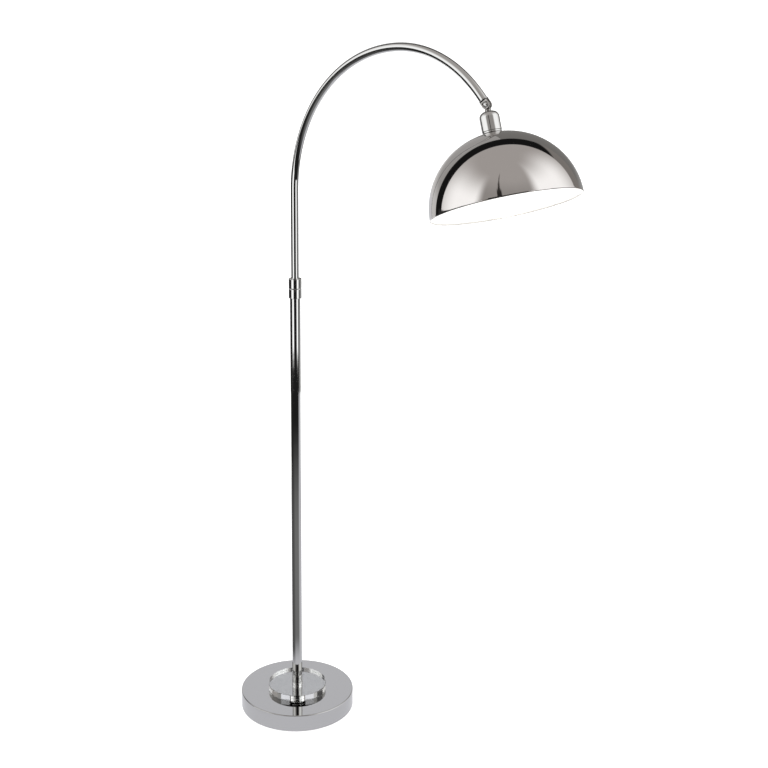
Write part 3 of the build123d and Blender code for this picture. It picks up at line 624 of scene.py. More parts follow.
# ---------------------------------------------------------------- base
class LAMP_OT_base(bpy.types.Operator):
    """Makes the drum, its flex bushing and the clear disc, and finishes what lies inside"""

    bl_idname = "lamp.base"
    bl_label = "Base"

    def execute(self, context):
        sizes = context.scene.lamp_sizes
        self.drum(sizes)
        self.bushing()
        self.disc()
        radius, _, low, high = measure("foot_pad", POLE_SEAT)
        outline = [(0, low), (radius, low), (radius, high), (0, high)]
        outline = softened(outline, [0, 0.6 * MM, 0.6 * MM, 0])
        outline[:, 0] = np.maximum(outline[:, 0], 0)
        pad = turned("foot_pad_felt", outline, POLE_SEAT, "felt", segments=160)
        seated(pad, "base", "foot_pad")
        refinish("base_weight", "iron")
        for node in ("base_plate", "plate_screws", "tie_pipe", "tie_washer", "tie_nut", "foot_plug"):
            refinish(node, "zinc")
        return {"FINISHED"}

    def drum(self, sizes):
        """Half-section of the drum: skirt, rounded edge, flat top, and the same inside."""
        radius, bore, low, high = measure("base_shell", POLE_SEAT)
        plate_radius, _, _, _ = measure("base_plate", POLE_SEAT)
        wall = radius - plate_radius - 0.5 * MM
        corners = [
            (bore, high - wall),
            (radius - wall, high - wall),
            (radius - wall, low),
            (radius, low),
            (radius, high),
            (bore, high),
        ]
        edges = [0.1 * MM, 0.5 * MM, 0.3 * MM, 0.5 * MM, sizes.drum_edge, 0.2 * MM]
        outline = softened(corners, edges, steps=12)
        drum = turned("drum_shell", outline, POLE_SEAT, "chrome", segments=256)
        self.flex_hole(drum)
        seated(drum, "base", "base_shell")

    def flex_hole(self, drum):
        """Cuts the bushing's hole through the back of the drum."""
        seat = bushing_seat()
        radius = measure("cord_bushing", seat)[1] + 1.7 * MM
        outline = [(0, -20 * MM), (radius, -20 * MM), (radius, 5 * MM), (0, 5 * MM)]
        cutter = turned("hole_cutter", outline, seat, "chrome", False, 48)
        combined(drum, cutter, "DIFFERENCE")

    def bushing(self):
        """Moulded bushing: a domed flange outside the drum and a sleeve through its wall."""
        seat = bushing_seat()
        radius, bore, low, high = measure("cord_bushing", seat)
        sleeve = bore + 1.7 * MM
        corners = [(bore, low), (sleeve, low), (sleeve, 0), (radius, 0), (radius, high), (bore, high)]
        edges = [0.3 * MM, 0.3 * MM, 0.05 * MM, 0.2 * MM, 0.8 * MM, 0.6 * MM]
        outline = softened(corners, edges)
        piece = turned("flex_bushing", outline, seat, "rubber", segments=64)
        seated(piece, "base", "cord_bushing")

    def disc(self):
        """Clear disc with polished edges, lifted a hair off the drum it lies on."""
        radius, bore, low, high = measure("acrylic_disc", POLE_SEAT)
        outline = ring_outline(bore, radius, low + 0.05 * MM, high, [0.4 * MM] * 4)
        disc = turned("clear_disc", outline, POLE_SEAT, "acrylic", segments=256)
        seated(disc, "base", "acrylic_disc")


def bushing_seat():
    """The bushing's own seat: on the drum's back wall, with z pointing out of the drum."""
    low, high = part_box("cord_bushing")
    drum_radius = measure("base_shell", POLE_SEAT)[0]
    return Seat((-drum_radius, 0, (low.z + high.z) / 2), (-1, 0, 0), (0, 1, 0))


# ---------------------------------------------------------------- pole, collar and arm
class LAMP_OT_pole(bpy.types.Operator):
    """Makes the lower tube and the collar's two rings, and finishes the sleeve"""

    bl_idname = "lamp.pole"
    bl_label = "Pole and collar"

    def execute(self, context):
        sizes = context.scene.lamp_sizes
        radius, bore, low, high = measure("lower_tube", POLE_SEAT)
        outline = ring_outline(bore, radius, low, high, [sizes.tube_lip] * 4)
        tube = turned("pole_tube", outline, POLE_SEAT, "chrome", segments=96)
        seated(tube, "base", "lower_tube")
        self.collar_body(sizes, radius, high)
        self.collar_ring(sizes)
        refinish("clamp_sleeve", "nylon")
        return {"FINISHED"}

    def collar_body(self, sizes, pole_radius, pole_top):
        """Lower ring: seated over the pole, bevelled at the joint, with its spigot inside."""
        radius, pass_bore, low, spigot_top = measure("collar_body", POLE_SEAT)
        ring_low = measure("collar_ring", POLE_SEAT)[2]
        ring_bore = ring_inner_radius()
        joint = ring_low - 0.2 * MM
        spigot = ring_bore - 0.05 * MM
        corners = [
            (pole_radius + 0.05 * MM, low),
            (radius, low),
            (radius, joint),
            (spigot, joint),
            (spigot, spigot_top),
            (spigot - 1.6 * MM, spigot_top),
            (spigot - 1.6 * MM, pole_top + 7 * MM),
            (pass_bore, pole_top + 7 * MM),
            (pass_bore, pole_top),
            (pole_radius + 0.05 * MM, pole_top),
        ]
        edges = [0.2 * MM, 0.5 * MM, sizes.groove] + [0.05 * MM] * 7
        outline = softened(corners, edges)
        piece = turned("collar_lower_ring", outline, POLE_SEAT, "chrome", segments=96)
        seated(piece, "base", "collar_body")

    def collar_ring(self, sizes):
        """Upper ring: a cap that the arm passes through, bevelled at the joint."""
        radius, pass_bore, low, high = measure("collar_ring", POLE_SEAT)
        bore = ring_inner_radius()
        ledge = high - 8 * MM
        corners = [
            (bore, low), (radius, low), (radius, high), (pass_bore, high), (pass_bore, ledge),
            (bore, ledge),
        ]
        edges = [0.05 * MM, sizes.groove, 0.5 * MM, 0.3 * MM, 0.05 * MM, 0.05 * MM]
        outline = softened(corners, edges)
        piece = turned("collar_upper_ring", outline, POLE_SEAT, "chrome", segments=96)
        seated(piece, "collar", "collar_ring")


def ring_inner_radius():
    """Radius of the collar ring's wide bore, from the points on its lower face."""
    local = node_points("collar_ring")
    foot = local[np.abs(local[:, 2] - local[:, 2].min()) < 0.01 * MM]
    return np.hypot(foot[:, 0], foot[:, 1]).min()


def arm_line(sizes, low, spacing=4 * MM):
    """The arm's middle line and its tangents.

    It runs straight up, turns over on the rising radius, goes on turning on the falling one,
    and ends in a short straight tail. Along a bend of radius R the heading h grows with
    length over R, and the point is the bend's centre plus R times (-cos h, sin h).
    """
    start, rise, fall = sizes.bend_start, sizes.rise_radius, sizes.fall_radius
    straight = np.array([low, low + 1 * MM, start])
    first = np.linspace(0, sizes.rise_angle, int(rise * sizes.rise_angle / spacing))
    second = np.linspace(0, sizes.fall_angle, int(fall * sizes.fall_angle / spacing))
    second = sizes.rise_angle + second
    up_x, up_z = rise - rise * np.cos(first), start + rise * np.sin(first)
    turn = second[0]
    centre_x = up_x[-1] + fall * np.cos(turn)
    centre_z = up_z[-1] - fall * np.sin(turn)
    down_x, down_z = centre_x - fall * np.cos(second), centre_z + fall * np.sin(second)
    reach = np.array([0.9, 1.0]) * sizes.arm_tail
    end = second[-1]
    heading = np.concatenate([np.zeros(2), first, second[1:], np.full(2, end)])
    x = np.concatenate([np.zeros(2), up_x, down_x[1:], down_x[-1] + reach * np.sin(end)])
    z = np.concatenate([straight[:2], up_z, down_z[1:], down_z[-1] + reach * np.cos(end)])
    flat = np.zeros(len(x))
    line = np.stack([x, flat, z], -1)
    tangent = np.stack([np.sin(heading), flat, np.cos(heading)], -1)
    return line, tangent


class LAMP_OT_arm(bpy.types.Operator):
    """Makes the bent arm and the plug in its end, and finishes its bush, clips and flex"""

    bl_idname = "lamp.arm"
    bl_label = "Arm"

    def execute(self, context):
        sizes = context.scene.lamp_sizes
        points = node_points("arm_tube")
        low = points[:, 2].min()
        foot = points[points[:, 2] < low + 1 * MM]
        spread = np.hypot(foot[:, 0], foot[:, 1])
        line, tangent = arm_line(sizes, low)
        arm = carried_tube("arm_bent_tube", line, tangent, spread.max(), spread.min(), sizes.tube_lip)
        seated(arm, "arm", "arm_tube")
        self.plug()
        refinish("guide_bush", "nylon")
        refinish("guide_clips", "zinc")
        refinish("arm_wire", "flex")
        return {"FINISHED"}

    def plug(self):
        """The arm's end plug: a thin round flange and the spigot that is pressed in the tube."""
        radius, bore, low, high = measure("end_plug", FORK_SEAT)
        flange_top = low + 1.5 * MM
        spigot = bore + 2.4 * MM
        corners = [
            (bore, low), (radius, low), (radius, flange_top), (spigot, flange_top),
            (spigot, high), (bore, high),
        ]
        edges = [0.2 * MM, 0.5 * MM, 0.5 * MM, 0.05 * MM, 0.3 * MM, 0.1 * MM]
        outline = softened(corners, edges)
        piece = turned("arm_end_flange", outline, FORK_SEAT, "chrome", segments=64)
        seated(piece, "arm", "end_plug")


# ---------------------------------------------------------------- knuckle
class LAMP_OT_knuckle(bpy.types.Operator):
    """Makes the tilting knuckle's fork, tongue and screw, and finishes what goes with them"""

    bl_idname = "lamp.knuckle"
    bl_label = "Knuckle"

    def execute(self, context):
        edge = context.scene.lamp_sizes.knuckle_edge
        self.fork(edge)
        self.tongue()
        self.screw()
        refinish("knuckle_nut", "chrome")
        refinish("friction_washers", "nylon")
        for node in ("stem_clip", "cup_nipple", "cup_nut"):
            refinish(node, "zinc")
        return {"FINISHED"}

    def fork(self, edge):
        """Two ears, each a half disc run straight up, with a bridge over them and a hollow
        stem that turns in the arm's plug."""
        points = FORK_SEAT.local(node_points("knuckle_fork"))
        half_width, radius = np.abs(points[:, 0]).max(), -points[:, 2].min()
        stem_top = points[:, 2].max()
        washers = FORK_SEAT.local(node_points("friction_washers"))
        gap = np.abs(washers[:, 0]).max()
        top = measure("end_plug", FORK_SEAT)[2] - 0.2 * MM
        corner = 2 * edge
        outline = arcs_outline(
            [
                (radius - corner, top - corner, corner, 0, 90),
                (corner - radius, top - corner, corner, 90, 180),
                (0, 0, radius, 180, 360),
            ]
        )
        fork = plate("knuckle_fork_ears", outline, gap, half_width, edge, FORK_SEAT)
        other = plate("far_ear", outline, -half_width, -gap, edge, FORK_SEAT)
        middle, depth, flare = 4.9 * MM, 0.5 * MM, 2.1 * MM
        rim = half_width + 1 * MM
        ring = [(middle - flare, rim), (middle, half_width - depth), (middle + flare, rim)]
        for ear, way in ((fork, 1), (other, -1)):
            seat = Seat(KNUCKLE, way * TILT_AXIS, ARM_END_DIR)
            cutter = turned("groove", ring, seat, "casting", segments=64)
            combined(ear, cutter, "DIFFERENCE")
        combined(fork, other, "UNION")
        outline = rounded_box_outline(radius - 0.05 * MM, top - 2 * MM, top - 0.05 * MM, 0.5 * MM)
        bridge = plate("bridge", outline, -half_width + edge, half_width - edge, 0.2 * MM, FORK_SEAT)
        clip_low, clip_high = measure("stem_clip", FORK_SEAT)[2:]
        stem, groove, bore = 4.0 * MM, 3.5 * MM, 2.6 * MM
        corners = [
            (0, top - 1 * MM), (stem, top - 1 * MM), (stem, clip_low), (groove, clip_low),
            (groove, clip_high), (stem, clip_high), (stem, stem_top), (bore, stem_top),
            (bore, top + 0.5 * MM), (0, top + 0.5 * MM),
        ]
        post = turned("stem", corners, FORK_SEAT, "casting", segments=48)
        combined(bridge, post, "UNION")
        combined(fork, bridge, "UNION")
        seated(fork, "head", "knuckle_fork")

    def tongue(self):
        """A disc with a neck under it, and a round foot that stands on the cup."""
        points = SHADE_SEAT.local(node_points("knuckle_tongue"))
        half_width = np.abs(points[np.abs(points[:, 2]) < 2 * MM][:, 0]).max()
        radius, low = points[:, 2].max(), points[:, 2].min()
        foot = np.hypot(points[:, 0], points[:, 1])[points[:, 2] < low + 0.1 * MM].max()
        neck = 5.0 * MM
        lean = math.degrees(math.acos(neck / radius))
        outline = arcs_outline(
            [
                (0, 0, radius, -lean, 180 + lean),
                (MM - neck, low + 2 * MM, MM, 180, 270),
                (neck - MM, low + 2 * MM, MM, 270, 360),
            ]
        )
        tongue = plate("knuckle_tongue_disc", outline, -half_width, half_width, 0.5 * MM, SHADE_SEAT)
        corners = [(0, low), (foot, low), (foot, low + 4 * MM), (0, low + 4 * MM)]
        outline = softened(corners, [0, 0.3 * MM, 1.4 * MM, 0])
        outline[:, 0] = np.maximum(outline[:, 0], 0)
        base = turned("foot", outline, SHADE_SEAT, "casting", segments=64)
        combined(tongue, base, "UNION")
        nipple, _, _, nipple_top = measure("cup_nipple", SHADE_SEAT)
        bore = nipple + 0.05 * MM
        corners = [(0, low - MM), (bore, low - MM), (bore, nipple_top), (0, nipple_top)]
        drill = turned("drill", corners, SHADE_SEAT, "casting", segments=48)
        combined(tongue, drill, "DIFFERENCE")
        seated(tongue, "shade", "knuckle_tongue")

    def screw(self):
        """Round-headed screw: the head is a quarter ellipse turned about the shank, slotted."""
        seat = Seat(KNUCKLE, TILT_AXIS, ARM_END_DIR)
        radius, _, low, high = measure("knuckle_screw", seat)
        ear = np.abs(FORK_SEAT.local(node_points("knuckle_fork"))[:, 0]).max()
        shank = 2.0 * MM
        turn = np.linspace(0, math.pi / 2, 16)
        rise = high - ear - 0.3 * MM
        head = np.stack([radius * np.cos(turn), ear + 0.3 * MM + rise * np.sin(turn)], -1)
        outline = np.concatenate([[(0, low), (shank, low), (shank, ear), (radius, ear)], head])
        screw = turned("knuckle_round_screw", outline, seat, "chrome", segments=48)
        outline = rounded_box_outline(0.45 * MM, high - 0.7 * MM, high + 2 * MM, 0.1 * MM)
        blade = plate("blade", outline, -6 * MM, 6 * MM, 0.05 * MM, seat)
        combined(screw, blade, "DIFFERENCE")
        seated(screw, "head", "knuckle_screw")


# ---------------------------------------------------------------- head
class LAMP_OT_head(bpy.types.Operator):
    """Makes the socket cup, the ring under it, the shade and its enamel"""

    bl_idname = "lamp.head"
    bl_label = "Cup and shade"

    def execute(self, context):
        sizes = context.scene.lamp_sizes
        self.cup(sizes)
        radius, bore, low, high = measure("cup_ring", SHADE_SEAT)
        outline = ring_outline(bore, radius, low, high, [0.2 * MM, 1.0 * MM, 1.0 * MM, 0.2 * MM])
        ring = turned("crown_ring", outline, SHADE_SEAT, "chrome")
        seated(ring, "shade", "cup_ring")
        self.shade(sizes)
        return {"FINISHED"}

    def cup(self, sizes):
        """Drawn capsule: a straight wall, a round shoulder and a flat top with the nipple's
        hole, then the same outline again inside by the wall's thickness."""
        radius, _, low, high = measure("socket_cup", SHADE_SEAT)
        hole = measure("cup_nipple", SHADE_SEAT)[0] + 0.05 * MM
        wall = 0.9 * MM
        corners = [
            (radius - wall, low),
            (radius, low),
            (radius, high),
            (hole, high),
            (hole, high - wall),
            (radius - wall, high - wall),
        ]
        shoulder = sizes.cup_shoulder
        edges = [0.2 * MM, 0.4 * MM, shoulder, 0.1 * MM, 0.1 * MM, shoulder - wall]
        outline = softened(corners, edges, steps=24)
        cup = turned("cup_shell", outline, SHADE_SEAT, "chrome")
        seated(cup, "shade", "socket_cup")

    def shade(self, sizes):
        """Spun dome: a quarter of an ellipse, curled in at the rim, and the same inside by the
        wall. The enamel is a thin skin on the inner one that stops short of the curl."""
        radius, hole, rim, crown = measure("shade", SHADE_SEAT)
        wall, skin, bare = 0.9 * MM, 0.12 * MM, 2.8 * MM
        depth = (crown - rim) / math.sqrt(1 - (hole / radius) ** 2)
        curl = sizes.rim_curl
        sweep = math.radians(65)
        turn = np.linspace(0, sweep, 8)
        start = rim + curl * math.sin(sweep)
        outer = dome_curve(radius, depth, rim, hole, start, 90)
        edge = outer[-1, 0]
        fold = np.stack([edge - curl * (1 - np.cos(turn)), start - curl * np.sin(turn)], -1)[1:]
        lip = np.stack(
            [edge - curl + (curl - wall) * np.cos(turn), start - (curl - wall) * np.sin(turn)], -1
        )[::-1]
        inner = dome_curve(radius - wall, depth - wall, rim, hole, start, 90)
        outline = np.concatenate([outer, fold, lip[:-1], inner[::-1]])
        shade = turned("shade_dome", outline, SHADE_SEAT, "shade_chrome", segments=256)
        seated(shade, "shade", "shade")
        under = wall + 0.02 * MM
        upper = dome_curve(radius - under, depth - under, rim, hole, rim + bare, 90)
        under = wall + skin
        lower = dome_curve(radius - under, depth - under, rim, hole, rim + bare, 90)
        outline = np.concatenate([upper, lower[::-1]])
        enamel = turned("shade_enamel", outline, SHADE_SEAT, "enamel", segments=256)
        seated(enamel, "shade", "shade")


def dome_curve(radius, depth, rim, hole, stop, count):
    """Quarter ellipse from the crown's hole down to a height: (radius cos t, rim + depth sin t)."""
    start = math.acos(hole / radius)
    angle = np.linspace(start, math.asin((stop - rim) / depth), count)
    return np.stack([radius * np.cos(angle), rim + depth * np.sin(angle)], -1)


# ---------------------------------------------------------------- lamp holder and bulb
class LAMP_OT_bulb(bpy.types.Operator):
    """Makes the shade's ring nut and the bulb, and finishes the lamp holder and the brass contacts"""

    bl_idname = "lamp.bulb"
    bl_label = "Holder and bulb"

    def execute(self, context):
        self.ring_nut()
        self.glass()
        self.cap()
        refinish("lamp_holder", "phenolic")
        for node in ("screw_shell", "centre_contact", "bulb_contact"):
            refinish(node, "brass")
        return {"FINISHED"}

    def ring_nut(self):
        """Moulded ring nut with finger ribs: its wall swells and sinks round the edge."""
        radius, bore, low, high = measure("shade_nut", SHADE_SEAT)
        outline = ring_outline(bore, radius, low, high, [0.3 * MM, 0.8 * MM, 0.4 * MM, 0.2 * MM])
        ribs, depth = 24, 0.7 * MM

        def ripple(rim, around, height):
            share = np.clip((rim - bore) / (radius - bore), 0, 1) ** 3
            return rim - depth * share * (0.5 + 0.5 * np.cos(ribs * around))

        nut = turned("holder_ring_nut", outline, SHADE_SEAT, "phenolic", segments=240, ripple=ripple)
        seated(nut, "shade", "shade_nut")

    def glass(self):
        """Bulb glass: a ball that eases into the neck on a cubic curve, and the same inside."""
        radius, _, low, high = measure("bulb_glass", SHADE_SEAT)
        local = SHADE_SEAT.local(node_points("bulb_glass"))
        mouth = local[local[:, 2] > high - 0.1 * MM]
        neck = np.hypot(mouth[:, 0], mouth[:, 1]).max()
        cap_low = measure("bulb_cap", SHADE_SEAT)[2]
        wall = 0.8 * MM
        outer = bulb_curve(radius, neck, low, cap_low, high)
        inner = bulb_curve(radius - wall, neck - wall, low + wall, cap_low, high)
        outline = np.concatenate([outer, inner[::-1]])
        glass = turned("bulb_envelope", outline, SHADE_SEAT, "glass", closed=False)
        seated(glass, "shade", "bulb_glass")

    def cap(self):
        """Edison cap: a rolled round thread, so the wall's radius rises and falls by a cosine
        of the height over the pitch less the angle."""
        radius, _, low, high = measure("bulb_cap", SHADE_SEAT)
        pitch, depth, wall = 3.6 * MM, 0.75 * MM, 0.4 * MM
        collar, shoulder = 2.0 * MM, 4.6 * MM
        wall_heights = np.linspace(low, high - shoulder, 90)
        outer = np.stack([np.full(90, radius), wall_heights], -1)
        top = np.array([(radius - shoulder, high), (radius - shoulder, high - wall)])
        inner = np.stack([np.full(90, radius - wall - depth), wall_heights[::-1]], -1)
        outline = np.concatenate([outer, top, inner])

        def ripple(rim, around, height):
            plain = np.clip((height - low - collar) / collar, 0, 1)
            plain = plain * np.clip((high - shoulder - height) / collar, 0, 1)
            wave = 0.5 - 0.5 * np.cos(2 * math.pi * height / pitch - around)
            return np.where(rim > radius - wall / 2, rim - depth * plain * wave, rim)

        cap = turned("bulb_screw_cap", outline, SHADE_SEAT, "cap", segments=96, ripple=ripple)
        seated(cap, "shade", "bulb_cap")


def bulb_curve(radius, neck, low, cap_low, high, shoulder=math.radians(40)):
    """Outline from the bulb's tip to its mouth.

    The ball runs from straight down to the shoulder angle above its widest place. From there a
    cubic with the ball's own slope at one end and an upright one at the other meets the neck.
    """
    angle = np.linspace(-math.pi / 2, shoulder, 60)
    middle = low + radius
    ball = np.stack([radius * np.cos(angle), middle + radius * np.sin(angle)], -1)
    t = np.linspace(0, 1, 40)[1:, None]
    start, end = ball[-1], np.array([neck, cap_low])
    span = np.linalg.norm(end - start)
    out_slope = span * np.array([-math.sin(shoulder), math.cos(shoulder)])
    in_slope = span * np.array([0.0, 1.0])
    ease = (
        (2 * t**3 - 3 * t**2 + 1) * start
        + (t**3 - 2 * t**2 + t) * out_slope
        + (3 * t**2 - 2 * t**3) * end
        + (t**3 - t**2) * in_slope
    )
    return np.concatenate([ball, ease, [(neck, high)]])


# ---------------------------------------------------------------- studio
CAMERA_AZIMUTH = -44.184    # degrees from +X round to the camera
CAMERA_DISTANCE = 2.801
CAMERA_HEIGHT = 1.6415
CAMERA_YAW = 42.014
CAMERA_TILT = 72.468
CAMERA_ROLL = 0.811
CAMERA_LENS = 65.38

# What the chrome mirrors, as soft-edged patches. A direction is told by its azimuth round from
# the camera's side, its elevation, and its spread: the angle away from straight behind the
# lamp. Its lean is the azimuth of a slanting line: it grows with elevation by STAND_LEAN.
# A place on the floor is told by its azimuth round the pole and its distance in metres.
# A patch holds (low, high, softness of the low edge, softness of the high edge) for each
# coordinate that bounds it, then its brightness and colour. A later patch covers an earlier.
STAND_LEAN = 0.33
WHITE, WARM, BUFF = "#ffffff", "#fff9f5", "#fff4ee"
BACKDROP, FRAME = (-1, 45.6, 1, 1), (40, 62, 1, 1)
BACK_LEFT, BACK_RIGHT = (-181, -120, 1, 1), (120, 181, 1, 1)
BACKDROP_FOOT = (-30, 2, 1, 14)
DARK_EDGE = 88              # azimuth where the right wall turns from dark to grey
ROOM = ("room", {}, 0.56, WARM)
ROOM_PATCHES = (
    ("dim camera side", {"azimuth": (-56, 36, 12, 16), "elevation": (-20, 40, 6, 30)}, 0.43, WARM),
    ("left bank", {"azimuth": (-118, -52, 60, 16), "elevation": (-7, 36, 2, 44)}, 1.58, WHITE),
    ("right bank", {"azimuth": (40, 112, 20, 56), "elevation": (-7, 58, 2, 46)}, 1.58, WHITE),
    ("light stand", {"lean": (-15.4, -7.4, 1, 2), "elevation": (8, 36, 1, 8)}, 0.03, BUFF),
    ("stand's neck", {"lean": (-13.2, -9.6, 1, 2), "elevation": (30, 46, 6, 8)}, 0.04, BUFF),
    ("stand's tip", {"lean": (-12.2, -10.2, 1, 1), "elevation": (40, 58, 6, 10)}, 0.12, BUFF),
    ("black frame", {"spread": FRAME}, 0.012, WHITE),
    (
        "brown frame, right",
        {"spread": FRAME, "azimuth": (90, 156, 1, 3), "elevation": (-30, 36, 1, 4)},
        0.30,
        "#fbf4ee",
    ),
    ("backdrop", {"spread": BACKDROP}, 0.24, "#fbf8f6"),
    ("backdrop, left", {"spread": BACKDROP, "azimuth": BACK_LEFT}, 0.48, "#fdfbf9"),
    ("backdrop, right", {"spread": BACKDROP, "azimuth": BACK_RIGHT}, 0.25, "#fbf8f4"),
    (
        "low backdrop, left",
        {"spread": BACKDROP, "azimuth": BACK_LEFT, "elevation": BACKDROP_FOOT},
        0.8,
        "#fdfcfb",
    ),
    (
        "low backdrop, right",
        {"spread": BACKDROP, "azimuth": BACK_RIGHT, "elevation": BACKDROP_FOOT},
        0.4,
        "#fdfcfb",
    ),
    ("dark wall, left", {"azimuth": (-126, -66, 1, 3), "elevation": (-30, -7, 1, 3)}, 0.04, WHITE),
    ("left strip light", {"azimuth": (-66, -28, 3, 3), "elevation": (-16.6, 3, 1.2, 6)}, 1.75, WHITE),
    ("dark behind the camera", {"azimuth": (-28, 31, 3, 3), "elevation": (-30, 8, 1, 14)}, 0.02, WHITE),
    ("right strip light", {"azimuth": (31, 63, 3, 3), "elevation": (-16.6, 3, 1.2, 6)}, 1.75, WHITE),
    ("dark wall, right", {"azimuth": (64, DARK_EDGE, 3, 6), "elevation": (-30, -3, 1, 4)}, 0.06, WHITE),
    ("grey wall, right", {"azimuth": (DARK_EDGE, 120, 6, 20), "elevation": (-30, -3, 1, 4)}, 0.45, WHITE),
    ("dark skirting", {"azimuth": (-66, 66, 3, 10), "elevation": (-30, -16.6, 1, 1.2)}, 0.02, WHITE),
)
FLOOR = ("lit floor", {}, 0.82, "#f9f9ff")
FLOOR_PATCHES = (
    ("front", {"azimuth": (-60, 58, 40, 30), "distance": (0.27, 9, 0.16, 1)}, 0.25, WHITE),
    ("left", {"azimuth": (-126, -44, 3, 40), "distance": (0.22, 9, 0.12, 1)}, 0.12, WHITE),
    ("dark front", {"azimuth": (-126, 68, 3, 16), "distance": (1.45, 9, 1.2, 1)}, 0.02, WHITE),
    ("far behind, left", {"azimuth": (-181, -128, 1, 6), "distance": (1.4, 9, 0.4, 1)}, 1.5, WHITE),
    ("far behind, right", {"azimuth": (128, 181, 6, 1), "distance": (1.4, 9, 0.4, 1)}, 1.5, WHITE),
)
# Cards that only the chrome sees: azimuth, distance, half width, low and high edges in metres,
# brightness and colour. The one behind the lamp is what the base's top mirrors.
CARDS = (
    ("card_behind", 180, 1.5, 0.75, 0.25, 1.05, 0.79, "#f9f9fe"),
    ("card_by_the_camera", 0, 3.2, 1.65, 0.0, 2.4, 0.02, WHITE),
    ("card_on_the_left", -110, 1.5, 0.55, 0.0, 0.6, 0.02, WHITE),
)
FLOOR_RADIUS = 12.0
MIRRORED_FLOOR_RADIUS = 2.3
MIRRORED_FLOOR_HEIGHT = -0.5 * MM
PLAIN_LIGHT = 1.35          # brightness of the light that falls on matt surfaces
FLOOR_LIFT = 0.45           # the floor's own glow, which thins the shadow on it


